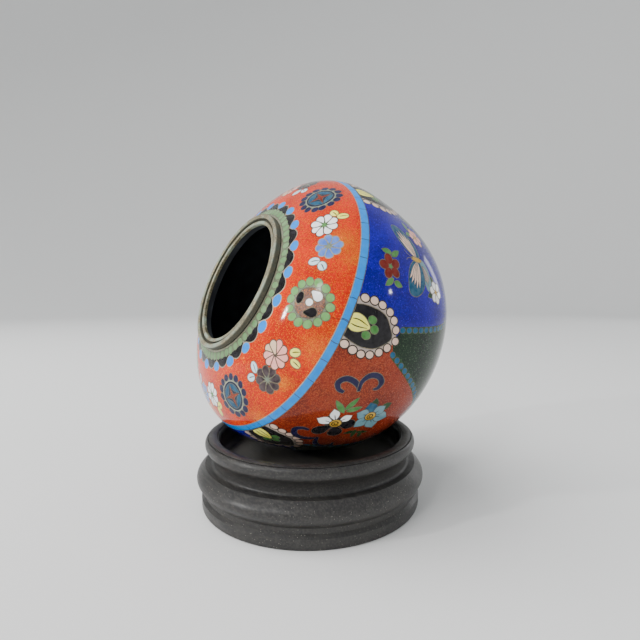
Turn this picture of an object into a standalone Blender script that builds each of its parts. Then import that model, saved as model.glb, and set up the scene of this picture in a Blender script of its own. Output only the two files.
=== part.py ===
"""Cloisonne incense jar lying tipped in its round hardwood stand.

A globular jar with a metal mouth rim and a metal foot ring. It has no lid. It lies on its belly in a
shallow turned dish and leans back until its foot ring meets the dish's rounded rim, so its mouth points
forward (-Y) and a little up. The stand's underside is flat on the ground, with the origin at its centre.
All lengths are in metres, +Z is up.
"""
import math

import bpy
import numpy as np

# Jar: a body turned about its own axis, whose height 0 is at its widest
JAR_RADIUS = 0.0550
SHOULDER_RISE = 0.0332       # height that the shoulder's curve would reach if it closed over the mouth
SHOULDER_FULLNESS = 2.61     # 2 is an ellipse, more is squarer
BELLY_DROP = 0.0537          # depth that the lower curve would reach if it closed under the foot
BELLY_FULLNESS = 2.54
JAR_WALL = 0.0022            # copper with enamel on both sides
BASE_THICKNESS = 0.0026

# Mouth rim: a lip for a lid to sit on, a groove, and an outer ring
MOUTH_RADIUS = 0.0236
LIP_WIDTH = 0.0014
LIP_RISE = 0.0013            # rises are above the seat where the rim meets the shoulder
LIP_EASE = 0.00035
GROOVE_WIDTH = 0.0008
GROOVE_RISE = 0.0005
RING_WIDTH = 0.0019
RING_RISE = 0.0020
RING_ROUNDING = 0.0006
BORE_SETBACK = 0.0008        # the body's own hole is this much wider than the rim's

# Foot ring
FOOT_RADIUS = 0.0294
FOOT_WIDTH = 0.0025
FOOT_HEIGHT = 0.0040
FOOT_OVERHANG = 0.0008       # the ring stands this far outside the body's flat base
FOOT_EASE = 0.0004

# Stand: a turned dish with a rounded rim, a waist, a shoulder and a low plinth
STAND_HEIGHT = 0.0270
DISH_RADIUS = 0.0364         # clear radius inside the rounded rim
DISH_DEPTH = 0.0096
DISH_COVE = 0.0030
BEAD_RADIUS = 0.0030         # half the thickness of the rounded rim
WAIST_INSET = 0.0030         # how far the waist lies inside the rim's outermost line
WAIST_HEIGHT = 0.0190
SHOULDER_REACH = 0.0032      # how far the shoulder's widest line lies outside the rounded rim
SHOULDER_TOP = 0.0160        # height of the crisp edge where the shoulder starts
SHOULDER_FOOT = 0.0070
PLINTH_REACH = 0.0016        # how far the plinth's side lies outside the rounded rim
PLINTH_HEIGHT = 0.0045
PLINTH_EASE = 0.0006
PLINTH_STEP = 0.0012         # the neck above the plinth lies this far inside it
FLARE_EASE = 0.0010

# The jar has rolled this far to -X of the stand's middle, until its belly meets the rim on that side
JAR_OFFSET_X = -0.0057

GAP = 0.0003                 # clearance between pieces that touch
SEGMENTS = 60                # sides of every turned piece

# Straight steps that each curve of a profile is made of
OUTER_SHOULDER_STEPS = 9
OUTER_BELLY_STEPS = 11
INNER_SHOULDER_STEPS = 5
INNER_BELLY_STEPS = 6
RING_STEPS = 3
COVE_STEPS = 4
BEAD_STEPS = 8
STAND_SHOULDER_STEPS = 5

MATERIALS = {                # colour, roughness, metallic
    "enamel": ((0.62, 0.09, 0.03), 0.22, 0.0),
    "brass": ((0.30, 0.28, 0.20), 0.48, 1.0),
    "hardwood": ((0.016, 0.012, 0.011), 0.38, 0.0),
}


def rim_radius():
    """Outer radius of the mouth rim, where the enamel stops."""
    return MOUTH_RADIUS + LIP_WIDTH + GROOVE_WIDTH + RING_WIDTH


def curve_height(radius, greatest, rise, fullness):
    """Height of a rounded quarter curve at a given radius."""
    return rise * (1.0 - (radius / greatest) ** fullness) ** (1.0 / fullness)


def quarter_curve(greatest, rise, fullness, end_radius, count):
    """Points (radius, height) from the widest place, at height 0, to where the radius is end_radius."""
    end = math.acos((end_radius / greatest) ** (fullness / 2.0))
    points = []
    for i in range(count + 1):
        angle = end * i / count
        radius = greatest * math.cos(angle) ** (2.0 / fullness)
        height = rise * math.sin(angle) ** (2.0 / fullness)
        points.append((radius, height))
    return points


def arc(centre, radius, start, end, count):
    """Points of a circular arc in the (radius, height) plane, angles in degrees."""
    points = []
    for i in range(count + 1):
        angle = math.radians(start + (end - start) * i / count)
        points.append((centre[0] + radius * math.cos(angle), centre[1] + radius * math.sin(angle)))
    return points


def seat_height():
    """Height of the flat seat that carries the mouth rim."""
    return curve_height(rim_radius(), JAR_RADIUS, SHOULDER_RISE, SHOULDER_FULLNESS)


def base_radius():
    """Radius of the body's flat base."""
    return FOOT_RADIUS - FOOT_OVERHANG


def base_height():
    """Height of the body's flat base, below the widest place."""
    return -curve_height(base_radius(), JAR_RADIUS, BELLY_DROP, BELLY_FULLNESS)


def outer_body():
    """The enamelled outside, from the mouth rim down to the base."""
    upper = quarter_curve(JAR_RADIUS, SHOULDER_RISE, SHOULDER_FULLNESS, rim_radius(), OUTER_SHOULDER_STEPS)
    lower = quarter_curve(JAR_RADIUS, BELLY_DROP, BELLY_FULLNESS, base_radius(), OUTER_BELLY_STEPS)
    return upper[::-1] + [(r, -h) for r, h in lower[1:]]


def inner_body():
    """The inside, from its flat floor up to the mouth, with the wall's thickness all round."""
    inner_radius = JAR_RADIUS - JAR_WALL
    floor = base_height() + BASE_THICKNESS
    roof = seat_height() - JAR_WALL
    drop = BELLY_DROP - JAR_WALL
    rise = SHOULDER_RISE - JAR_WALL
    floor_radius = inner_radius * (1.0 - (-floor / drop) ** BELLY_FULLNESS) ** (1.0 / BELLY_FULLNESS)
    roof_radius = inner_radius * (1.0 - (roof / rise) ** SHOULDER_FULLNESS) ** (1.0 / SHOULDER_FULLNESS)
    lower = quarter_curve(inner_radius, drop, BELLY_FULLNESS, floor_radius, INNER_BELLY_STEPS)
    upper = quarter_curve(inner_radius, rise, SHOULDER_FULLNESS, roof_radius, INNER_SHOULDER_STEPS)
    return [(0.0, floor)] + [(r, -h) for r, h in lower[::-1]] + upper[1:]


def body_profile():
    """The hollow body, run from the inside of its floor to the underside of its base."""
    bore = MOUTH_RADIUS + BORE_SETBACK
    mouth = [(bore, seat_height() - JAR_WALL), (bore, seat_height())]
    return inner_body() + mouth + outer_body() + [(0.0, base_height())]


def mouth_rim_profile():
    """Closed section of the mouth rim: bore, lip, groove and rounded outer ring."""
    seat = seat_height() + GAP
    lip_edge = MOUTH_RADIUS + LIP_WIDTH
    groove_edge = lip_edge + GROOVE_WIDTH
    outer = rim_radius()
    lip_top = seat + LIP_RISE
    round_height = seat + RING_RISE - RING_ROUNDING
    inner_round = arc((groove_edge + RING_ROUNDING, round_height), RING_ROUNDING, 180, 90, RING_STEPS)
    outer_round = arc((outer - RING_ROUNDING, round_height), RING_ROUNDING, 90, 0, RING_STEPS)
    lip = [(MOUTH_RADIUS, lip_top - LIP_EASE), (MOUTH_RADIUS + LIP_EASE, lip_top),
           (lip_edge - LIP_EASE, lip_top), (lip_edge, lip_top - LIP_EASE)]
    groove = [(lip_edge, seat + GROOVE_RISE), (groove_edge, seat + GROOVE_RISE)]
    return lip + groove + inner_round + outer_round + [(outer, seat), (MOUTH_RADIUS, seat)]


def foot_bottom():
    """Height of the foot ring's underside."""
    return base_height() - GAP - FOOT_HEIGHT


def foot_profile():
    """Closed section of the foot ring, with its lower edges eased."""
    top = base_height() - GAP
    inner = FOOT_RADIUS - FOOT_WIDTH
    bottom = foot_bottom()
    outside = [(FOOT_RADIUS, top), (FOOT_RADIUS, bottom + FOOT_EASE), (FOOT_RADIUS - FOOT_EASE, bottom)]
    inside = [(inner + FOOT_EASE, bottom), (inner, bottom + FOOT_EASE), (inner, top)]
    return outside + inside


def bead_centre():
    """Centre of the stand's rounded rim, as (radius, height)."""
    return DISH_RADIUS + BEAD_RADIUS, STAND_HEIGHT - BEAD_RADIUS


def dish_floor():
    """Height of the dish's floor above the ground."""
    return STAND_HEIGHT - DISH_DEPTH


def stand_profile():
    """The stand, from the middle of its dish over the rim and down to the underside."""
    floor = dish_floor()
    rim_edge = DISH_RADIUS + 2.0 * BEAD_RADIUS
    waist = rim_edge - WAIST_INSET
    shoulder_radius = rim_edge + SHOULDER_REACH
    plinth_radius = rim_edge + PLINTH_REACH
    neck = plinth_radius - PLINTH_STEP
    shoulder_depth = SHOULDER_TOP - SHOULDER_FOOT
    shoulder_start = (waist + shoulder_radius) / 2.0
    cove = arc((DISH_RADIUS - DISH_COVE, floor + DISH_COVE), DISH_COVE, -90, 0, COVE_STEPS)
    rim = arc(bead_centre(), BEAD_RADIUS, 180, -60, BEAD_STEPS)
    flare = [(waist, WAIST_HEIGHT), (waist + FLARE_EASE, SHOULDER_TOP + FLARE_EASE),
             (shoulder_start, SHOULDER_TOP)]
    shoulder = []
    for i in range(1, STAND_SHOULDER_STEPS + 1):
        share = i / STAND_SHOULDER_STEPS
        swell = (shoulder_radius - shoulder_start) * math.sin(math.pi * share)
        tuck = (neck - shoulder_start) * share
        shoulder.append((shoulder_start + swell + tuck, SHOULDER_TOP - shoulder_depth * share))
    plinth = [(neck, PLINTH_HEIGHT + PLINTH_EASE), (plinth_radius, PLINTH_HEIGHT),
              (plinth_radius, PLINTH_EASE), (plinth_radius - PLINTH_EASE, 0.0), (0.0, 0.0)]
    return [(0.0, floor)] + cove + rim + flare + shoulder + plinth


def turned_points(outline):
    """Points all round a turned outline, in the jar's own upright frame."""
    outline = np.array(outline)
    angles = np.linspace(0.0, 2.0 * math.pi, SEGMENTS, endpoint=False)
    x = outline[:, :1] * np.cos(angles)
    y = outline[:, :1] * np.sin(angles)
    z = np.broadcast_to(outline[:, 1:], x.shape)
    return np.stack([x.ravel(), y.ravel(), z.ravel()], axis=1)


def tip(points, tilt):
    """The points tipped toward -Y by tilt and moved to the jar's place over the stand, not yet raised."""
    y = points[:, 1] * math.cos(tilt) - points[:, 2] * math.sin(tilt)
    z = points[:, 1] * math.sin(tilt) + points[:, 2] * math.cos(tilt)
    return np.stack([points[:, 0] + JAR_OFFSET_X, y, z], axis=1)


def clearance(points, lift):
    """Smallest distance from the tipped and raised points to the dish's floor, wall and rounded rim."""
    radius, height = bead_centre()
    out = np.hypot(points[:, 0], points[:, 1])
    z = points[:, 2] + lift
    to_bead = np.hypot(out - radius, z - height) - BEAD_RADIUS
    to_side = np.where((z < height) & (out < radius), DISH_RADIUS - out, to_bead)
    to_floor = z - dish_floor()
    return min(to_side.min(), to_floor.min())


def lowest_lift(points):
    """How high the tipped points have to be raised to rest on the stand with a gap."""
    lift = dish_floor() + GAP - points[:, 2].min()
    step = STAND_HEIGHT
    while step > 1e-7:
        if clearance(points, lift + step) < GAP:
            lift += step
        step /= 2.0
    return lift + step


def resting_pose():
    """Tilt and centre of the jar: its belly on the stand, let down until its foot meets the stand too."""
    body = turned_points(outer_body())
    foot = turned_points(foot_profile())
    tilt = math.pi / 2.0
    step = math.radians(1.0)
    while step > 1e-7 and tilt > step:
        lift = lowest_lift(tip(body, tilt - step))
        if clearance(tip(foot, tilt - step), lift) > GAP:
            tilt -= step
        else:
            step /= 2.0
    return tilt, (JAR_OFFSET_X, 0.0, lowest_lift(tip(body, tilt)))


def make_material(name):
    """A plain Principled material with the colour of the real piece."""
    colour, roughness, metallic = MATERIALS[name]
    material = bpy.data.materials.new(name)
    material.use_nodes = True
    shader = material.node_tree.nodes["Principled BSDF"]
    shader.inputs["Base Color"].default_value = (*colour, 1.0)
    shader.inputs["Roughness"].default_value = roughness
    shader.inputs["Metallic"].default_value = metallic
    material.diffuse_color = (*colour, 1.0)
    return material


def turned_piece(name, profile, closed, material, collection):
    """A piece turned about Z from a profile that runs down its outer side."""
    vertices = [(radius, 0.0, height) for radius, height in profile]
    edges = [(i, i + 1) for i in range(len(profile) - 1)]
    if closed:
        edges.append((len(profile) - 1, 0))
    mesh = bpy.data.meshes.new(name)
    mesh.from_pydata(vertices, edges, [])
    piece = bpy.data.objects.new(name, mesh)
    mesh.materials.append(material)
    collection.objects.link(piece)
    screw = piece.modifiers.new("Turn", "SCREW")
    screw.axis = "Z"
    screw.angle = 2.0 * math.pi
    screw.steps = SEGMENTS
    screw.render_steps = SEGMENTS
    screw.use_merge_vertices = True
    screw.merge_threshold = 0.00001
    screw.use_smooth_shade = True
    return piece


def build():
    """Turn every piece and lay the jar in its stand."""
    for old in list(bpy.data.objects):
        bpy.data.objects.remove(old)
    collection = bpy.data.collections.new("cloisonne_incense_jar")
    bpy.context.scene.collection.children.link(collection)
    enamel = make_material("enamel")
    brass = make_material("brass")
    hardwood = make_material("hardwood")

    turned_piece("stand", stand_profile(), False, hardwood, collection)
    body = turned_piece("jar_body", body_profile(), False, enamel, collection)
    mouth_rim = turned_piece("mouth_rim", mouth_rim_profile(), True, brass, collection)
    foot_ring = turned_piece("foot_ring", foot_profile(), True, brass, collection)

    tilt, centre = resting_pose()
    jar_frame = bpy.data.objects.new("jar_frame", None)
    collection.objects.link(jar_frame)
    jar_frame.location = centre
    jar_frame.rotation_euler = (tilt, 0.0, 0.0)
    for piece in (body, mouth_rim, foot_ring):
        piece.parent = jar_frame
    bpy.context.view_layer.update()
    print("tilt from upright, degrees:", round(math.degrees(tilt), 3))
    print("jar centre, millimetres:", [round(1000.0 * value, 3) for value in centre])


build()
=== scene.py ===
# %% [markdown]
# # A cloisonne incense jar, tipped in its turned stand
# The real thing is a round copper jar covered with enamel. Flat metal wires are bent into the outlines
# of flowers, beads and leaves, each little cell is filled with ground glass, and the whole is fired and
# polished smooth. Nothing stands out of the surface, so the pattern here is inlaid too: one smooth skin
# is cut along every wire, and each cell of it gets its own enamel. The jar has no lid. It lies in a black
# hardwood stand with its mouth to the side.

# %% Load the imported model
import math
import random

import bpy
import numpy as np
from mathutils import Matrix, Vector
from mathutils.geometry import delaunay_2d_cdt


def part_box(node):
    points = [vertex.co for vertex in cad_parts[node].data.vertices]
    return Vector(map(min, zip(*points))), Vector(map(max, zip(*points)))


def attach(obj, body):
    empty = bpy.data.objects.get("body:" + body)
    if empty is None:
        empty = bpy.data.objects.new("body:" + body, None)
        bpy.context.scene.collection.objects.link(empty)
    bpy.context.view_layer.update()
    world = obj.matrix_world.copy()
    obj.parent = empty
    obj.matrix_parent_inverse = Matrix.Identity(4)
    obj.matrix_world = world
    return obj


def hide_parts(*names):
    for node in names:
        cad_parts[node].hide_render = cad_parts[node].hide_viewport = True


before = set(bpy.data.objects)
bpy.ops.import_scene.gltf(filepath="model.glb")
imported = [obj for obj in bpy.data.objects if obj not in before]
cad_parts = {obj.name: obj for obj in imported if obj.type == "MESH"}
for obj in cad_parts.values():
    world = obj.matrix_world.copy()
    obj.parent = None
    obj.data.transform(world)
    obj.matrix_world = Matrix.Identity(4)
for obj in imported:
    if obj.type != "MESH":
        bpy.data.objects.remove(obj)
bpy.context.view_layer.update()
print("nodes:", sorted(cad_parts))

# %% [markdown]
# Everything on the jar is drawn around the jar's own axis, which lies tipped. The frame knows where that
# axis is: it runs from the middle of the foot ring to the middle of the mouth rim. The height of the
# body's widest circle gives the jar's centre, and the size of that circle is the unit of the pattern.

# %% Find the jar's axis and size


def node_points(name):
    """The different corners of a CAD node, in metres."""
    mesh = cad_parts[name].data
    points = np.zeros(len(mesh.vertices) * 3)
    mesh.vertices.foreach_get("co", points)
    return np.unique(points.reshape(-1, 3).round(6), axis=0)


foot_middle = node_points("foot_ring").mean(axis=0)
mouth_middle = node_points("mouth_rim").mean(axis=0)
axis = (mouth_middle - foot_middle) / np.linalg.norm(mouth_middle - foot_middle)
body_points = node_points("jar_body") - foot_middle
body_height = body_points @ axis
body_radius = np.linalg.norm(body_points - np.outer(body_height, axis), axis=1)
JAR_RADIUS = body_radius.max()
widest_height = body_height[body_radius > 0.9999 * JAR_RADIUS].mean()
jar_centre = foot_middle + axis * widest_height

side = Vector((1.0, 0.0, 0.0))
jar_axis = Vector(axis)
jar_up = jar_axis.cross(side)
jar_place = Matrix((side, jar_up, jar_axis)).transposed().to_4x4()
jar_place.translation = Vector(jar_centre)
print("jar radius mm", round(JAR_RADIUS * 1000, 2), "tilt", round(math.degrees(math.acos(jar_axis.z)), 2))

# %% [markdown]
# The camera stands where the photographer stood, close to the jar and a little above it, with a short
# lens. The place is given in jar radii as the camera sees it: right, up and away from the lens.

# %% Set the camera
CAMERA_TURN = math.radians(56.1)
CAMERA_PITCH = math.radians(-3.6)
CAMERA_ROLL = math.radians(-0.35)
LENS = 25.3
JAR_IN_VIEW = Vector((-0.138, 0.063, -3.431))

camera = bpy.data.objects.new("camera", bpy.data.cameras.new("camera"))
bpy.context.scene.collection.objects.link(camera)
camera.data.lens = LENS
camera.data.clip_start = 0.01
turn = Matrix.Rotation(CAMERA_TURN, 4, "Z")
pitch = Matrix.Rotation(math.pi / 2.0 + CAMERA_PITCH, 4, "X")
roll = Matrix.Rotation(CAMERA_ROLL, 4, "Z")
camera_turned = turn @ pitch @ roll
camera_place = Vector(jar_centre) - camera_turned @ (JAR_IN_VIEW * JAR_RADIUS)
camera.matrix_world = Matrix.Translation(camera_place) @ camera_turned
bpy.context.scene.camera = camera
print("camera at", [round(value, 4) for value in camera_place])

# %% [markdown]
# Many pieces here are turned: the stand on a lathe, the rims on a spindle, and the stage too, which is a
# pale floor that sweeps up into a wall all round. One helper turns an outline about an axis. The outline
# runs from the top middle outwards and down, so that every face looks away from the material.

# %% Helpers for pieces


def turned_mesh(name, outline, steps, closed=False):
    """A mesh turned about Z from (radius, height) points that run outwards and down."""
    angles = np.arange(steps) * 2.0 * math.pi / steps
    vertices = []
    rings = []
    for radius, height in outline:
        if radius < 1e-6:
            rings.append([len(vertices)] * steps)
            vertices.append((0.0, 0.0, height))
        else:
            rings.append(list(range(len(vertices), len(vertices) + steps)))
            vertices.extend((radius * math.cos(a), radius * math.sin(a), height) for a in angles)
    if closed:
        rings.append(rings[0])
    faces = []
    for upper, lower in zip(rings, rings[1:]):
        for i in range(steps):
            j = (i + 1) % steps
            faces.append(list(dict.fromkeys([upper[j], upper[i], lower[i], lower[j]])))
    mesh = bpy.data.meshes.new(name)
    mesh.from_pydata(vertices, [], [face for face in faces if len(face) > 2])
    mesh.shade_smooth()
    return mesh


def arc(centre, radius, start, end, count):
    """Points of a circular arc in the (radius, height) plane, angles in degrees."""
    points = []
    for i in range(count + 1):
        angle = math.radians(start + (end - start) * i / count)
        points.append((centre[0] + radius * math.cos(angle), centre[1] + radius * math.sin(angle)))
    return points


print("a small circle has", len(arc((0.0, 0.0), 1.0, 0.0, 360.0, 12)) - 1, "sides")

# %% [markdown]
# Every piece needs the same few steps once its mesh is there. It is linked to the scene, gets its finish,
# rides on the part, and takes the place of the CAD node that it stands for.

# %% Helpers that dress pieces


def add_object(name, mesh):
    """Links a new object that shows the mesh."""
    piece = bpy.data.objects.new(name, mesh)
    bpy.context.scene.collection.objects.link(piece)
    return piece


SHARP_EDGE = math.radians(35.0)


def dress(piece, node, *materials):
    """Gives a piece its finishes and its body, and hides the CAD node that it stands for."""
    for material in materials:
        piece.data.materials.append(material)
    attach(piece, "root")
    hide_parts(node)
    return piece


def turned_piece(name, outline, steps, node, finish, place=None, closed=False):
    """Turns an outline, puts it in its place and dresses it."""
    mesh = turned_mesh(name, outline, steps, closed)
    if place is not None:
        mesh.transform(place)
    mesh.set_sharp_from_angle(angle=SHARP_EDGE)
    dress(add_object(name, mesh), node, finish)
    print(name, len(mesh.polygons), "faces")


# %% [markdown]
# The finishes are procedural: shader nodes work out the colour at every place. These helpers keep their
# making short. `fill` is the one that does most: it sets an input to a plain value, or links it where the
# value comes out of another node.

# %% Helpers for materials


def fill(tree, sockets, values):
    """Sets each named socket to a plain value, or links it to the node that works the value out."""
    for name, value in values.items():
        if isinstance(value, bpy.types.NodeSocket):
            tree.links.new(value, sockets[name])
        else:
            sockets[name].default_value = value


def add_node(tree, kind, inputs=None, **settings):
    """Adds a shader node, sets its choices and fills its inputs."""
    node = tree.nodes.new("ShaderNode" + kind)
    for name, value in settings.items():
        setattr(node, name, value)
    fill(tree, node.inputs, inputs or {})
    return node


def new_material(name):
    """A material with only a Principled shader and the output, ready for its own nodes."""
    material = bpy.data.materials.new(name)
    material.use_nodes = True
    return material, material.node_tree, material.node_tree.nodes["Principled BSDF"]


def paint(red, green, blue):
    """A colour as seen on a screen, 0 to 255, turned into the light values that shaders use."""
    values = []
    for part in (red, green, blue):
        share = part / 255.0
        values.append(share / 12.92 if share <= 0.04045 else ((share + 0.055) / 1.055) ** 2.4)
    return (*values, 1.0)


print("middle grey as light:", [round(value, 3) for value in paint(128, 128, 128)])

# %% [markdown]
# The helpers below each add one kind of node and give back the socket with its result, so a finish reads
# like a recipe: take the place, make noise from it, stretch the noise to a mask, mix two colours by it.

# %% Helpers that work out masks and colours


def place_on_piece(tree):
    """Where the shaded point lies on its piece, in metres."""
    return add_node(tree, "TexCoord").outputs["Object"]


def noise(tree, place, scale, detail):
    """Soft clouds of values between 0 and 1."""
    return add_node(tree, "TexNoise", {"Vector": place, "Scale": scale, "Detail": detail}).outputs["Fac"]


def spots(tree, place, scale):
    """How far each place is from the middle of its cell."""
    return add_node(tree, "TexVoronoi", {"Vector": place, "Scale": scale}).outputs["Distance"]


def stretch(tree, value, low, high, to_low=0.0, to_high=1.0):
    """Stretches a value from one range to another, and clips it there."""
    ends = {"From Min": low, "From Max": high, "To Min": to_low, "To Max": to_high}
    return add_node(tree, "MapRange", {"Value": value, **ends}).outputs["Result"]


def number_from(tree, operation, first, second):
    """Works out one number from two."""
    return add_node(tree, "Math", {0: first, 1: second}, operation=operation).outputs[0]


def multiply(tree, first, second):
    """Multiplies two numbers, which is how two masks are laid over each other."""
    return number_from(tree, "MULTIPLY", first, second)


def vector_from(tree, operation, first, second=(0.0, 0.0, 0.0)):
    """Works out one place or direction from two."""
    return add_node(tree, "VectorMath", {0: first, 1: second}, operation=operation).outputs["Vector"]


def length_of(tree, vector):
    """How long a vector is."""
    return add_node(tree, "VectorMath", {0: vector}, operation="LENGTH").outputs["Value"]


def mix_colours(tree, amount, first, second):
    """Mixes two colours by an amount and gives back the mixed colour."""
    return add_node(tree, "Mix", {0: amount, 6: first, 7: second}, data_type="RGBA").outputs[2]


def relief(tree, height, strength, distance):
    """Bends the normal over a fine relief, so that the light shows it."""
    node = add_node(tree, "Bump", {"Strength": strength, "Distance": distance, "Height": height})
    return node.outputs["Normal"]


print("helpers for masks and colours are ready")

# %% [markdown]
# Some effects serve more than one finish. Each is built once, as a shader group with named sockets, and
# placed in every material that needs it with that material's own colours. A group gives only what changes
# over the surface. What is the same all over, such as the strength of the gloss, stays in the material.

# %% Helpers for shader groups


def new_group(name, inputs, outputs):
    """An empty shader group; inputs and outputs say the kind of each named socket."""
    group = bpy.data.node_groups.new(name, "ShaderNodeTree")
    for way, sockets in (("INPUT", inputs), ("OUTPUT", outputs)):
        for label, kind in sockets.items():
            group.interface.new_socket(label, in_out=way, socket_type="NodeSocket" + kind)
    return group, group.nodes.new("NodeGroupInput").outputs, group.nodes.new("NodeGroupOutput").inputs


def place_group(tree, group, inputs):
    """Puts a group into a material with its own values."""
    node = tree.nodes.new("ShaderNodeGroup")
    node.node_tree = group
    fill(tree, node.inputs, inputs)
    return node.outputs


print("helpers for shader groups are ready")

# %% [markdown]
# The jar stands on a pale sweep that curves up into a wall. The light is soft: an even pale surround and
# one large lamp above. Four small lamps are there for what the glass mirrors, because the glints of a
# window and of a lamp are what make the enamel look polished.


# %% Floor, surround and lamps
STAGE_FLAT = 1.6
STAGE_CURVE = 0.9
STAGE_HEIGHT = 2.6
SWEEP_STEPS = 12

sweep = [(0.0, 0.0), (STAGE_FLAT, 0.0)]
for step in range(1, SWEEP_STEPS + 1):
    angle = math.pi / 2.0 * step / SWEEP_STEPS
    sweep.append((STAGE_FLAT + STAGE_CURVE * math.sin(angle), STAGE_CURVE * (1.0 - math.cos(angle))))
sweep.append((STAGE_FLAT + STAGE_CURVE, STAGE_HEIGHT))
floor = add_object("studio_floor", turned_mesh("studio_floor", sweep, 96))
paper, paper_tree, paper_shader = new_material("studio_paper")
fill(paper_tree, paper_shader.inputs, {"Base Color": (0.78, 0.78, 0.77, 1.0), "Roughness": 0.9})
floor.data.materials.append(paper)

world = bpy.data.worlds.new("studio_surround")
world.use_nodes = True
bpy.context.scene.world = world
surround = world.node_tree.nodes["Background"]
fill(world.node_tree, surround.inputs, {"Color": (0.93, 0.96, 1.0, 1.0), "Strength": 0.75})

# Each row gives the direction from the jar, distance and size in metres, watts, and if it is mirrored.
LAMPS = {
    "overhead_softbox": ((-0.2, -0.45, 0.9), 1.5, (1.3, 1.3), 28.0, False),
    "window_strip": ((-0.195, -0.908, 0.365), 1.4, (0.05, 0.12), 6.0, True),
    "front_strip": ((0.31, -0.76, 0.57), 1.4, (0.17, 0.17), 3.0, True),
    "back_spot": ((0.712, 0.67, 0.205), 1.4, (0.06, 0.06), 0.9, True),
    "rear_window": ((-0.08, 0.97, 0.22), 1.4, (0.16, 0.4), 0.7, True),
}


def add_lamp(name, toward, distance, size, energy, mirrored):
    """A soft rectangular lamp in a direction from the jar's centre, facing the jar."""
    data = bpy.data.lights.new(name, "AREA")
    data.shape = "RECTANGLE"
    data.size = size[0]
    data.size_y = size[1]
    data.energy = energy
    lamp = bpy.data.objects.new(name, data)
    bpy.context.scene.collection.objects.link(lamp)
    away = Vector(toward).normalized() * distance
    lamp.location = Vector(jar_centre) + away
    lamp.rotation_euler = (-away).to_track_quat("-Z", "Y").to_euler()
    lamp.visible_glossy = mirrored


for name, choices in LAMPS.items():
    add_lamp(name, *choices)
print("stage and lamps are set:", len(LAMPS), "lamps")

# %% [markdown]
# The stand is turned on a lathe from one block of black hardwood: a shallow dish, a thick rounded rim, a
# waist, a swelling shoulder and a low plinth. Its outline is written as arcs between a few real sizes,
# with many fine steps where the wood is round. Two fine lines are scored into the rim, as a turner does
# with the tip of the tool.

# %% Turn the stand
STAND_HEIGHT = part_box("stand")[1].z
DISH_RADIUS = 0.0364
DISH_DEPTH = 0.0096
DISH_COVE = 0.0030
RIM_BEAD = 0.0030
WAIST_INSET = 0.0030
WAIST_HEIGHT = 0.0190
SHOULDER_REACH = 0.0032
SHOULDER_TOP = 0.0160
SHOULDER_FOOT = 0.0070
PLINTH_REACH = 0.0016
PLINTH_STEP = 0.0012
PLINTH_HEIGHT = 0.0045
PLINTH_EASE = 0.0006
FLARE_EASE = 0.0010
SCORE_DEPTH = 0.00035
SCORE_HALF_WIDTH = 4.5
SCORE_ANGLES = (128, 52)
STAND_STEPS = 160


def scored_arc(centre, radius, start, end, lines):
    """An arc with fine lines cut into it at a few angles."""
    angles = list(np.linspace(start, end, 29))
    for line in lines:
        angles = [angle for angle in angles if abs(angle - line) > SCORE_HALF_WIDTH + 1.5]
        angles += [line + SCORE_HALF_WIDTH, line, line - SCORE_HALF_WIDTH]
    points = []
    for angle in sorted(angles, reverse=True):
        depth = SCORE_DEPTH if angle in lines else 0.0
        points += arc(centre, radius - depth, angle, angle, 1)[:1]
    return points


def stand_outline():
    """The stand's outline from the middle of the dish over the rim to the middle of the underside."""
    dish_floor = STAND_HEIGHT - DISH_DEPTH
    rim_edge = DISH_RADIUS + 2.0 * RIM_BEAD
    waist = rim_edge - WAIST_INSET
    shoulder = rim_edge + SHOULDER_REACH
    plinth = rim_edge + PLINTH_REACH
    neck = plinth - PLINTH_STEP
    shoulder_start = (waist + shoulder) / 2.0
    dish = [(DISH_RADIUS * share, dish_floor) for share in (0.0, 0.3, 0.6, 0.85)]
    cove = arc((DISH_RADIUS - DISH_COVE, dish_floor + DISH_COVE), DISH_COVE, -90, 0, 10)
    rim = scored_arc((DISH_RADIUS + RIM_BEAD, STAND_HEIGHT - RIM_BEAD), RIM_BEAD, 180, -60, SCORE_ANGLES)
    flare = arc((waist + FLARE_EASE, SHOULDER_TOP + FLARE_EASE), FLARE_EASE, 180, 270, 6)
    swelling = []
    for i in range(1, 17):
        share = i / 16.0
        swell = (shoulder - shoulder_start) * math.sin(math.pi * share)
        tuck = (neck - shoulder_start) * share
        height = SHOULDER_TOP - (SHOULDER_TOP - SHOULDER_FOOT) * share
        swelling.append((shoulder_start + swell + tuck, height))
    step = [(neck, PLINTH_HEIGHT + PLINTH_EASE), (plinth - PLINTH_EASE, PLINTH_HEIGHT)]
    base = arc((plinth - PLINTH_EASE, PLINTH_EASE), PLINTH_EASE, 0, -90, 4)
    return (dish + cove + rim + [(waist, WAIST_HEIGHT)] + flare + [(shoulder_start, SHOULDER_TOP)]
            + swelling + step + [(plinth, PLINTH_HEIGHT - PLINTH_EASE)] + base + [(0.0, 0.0)])


print("outline of the stand:", len(stand_outline()), "points")
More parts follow.
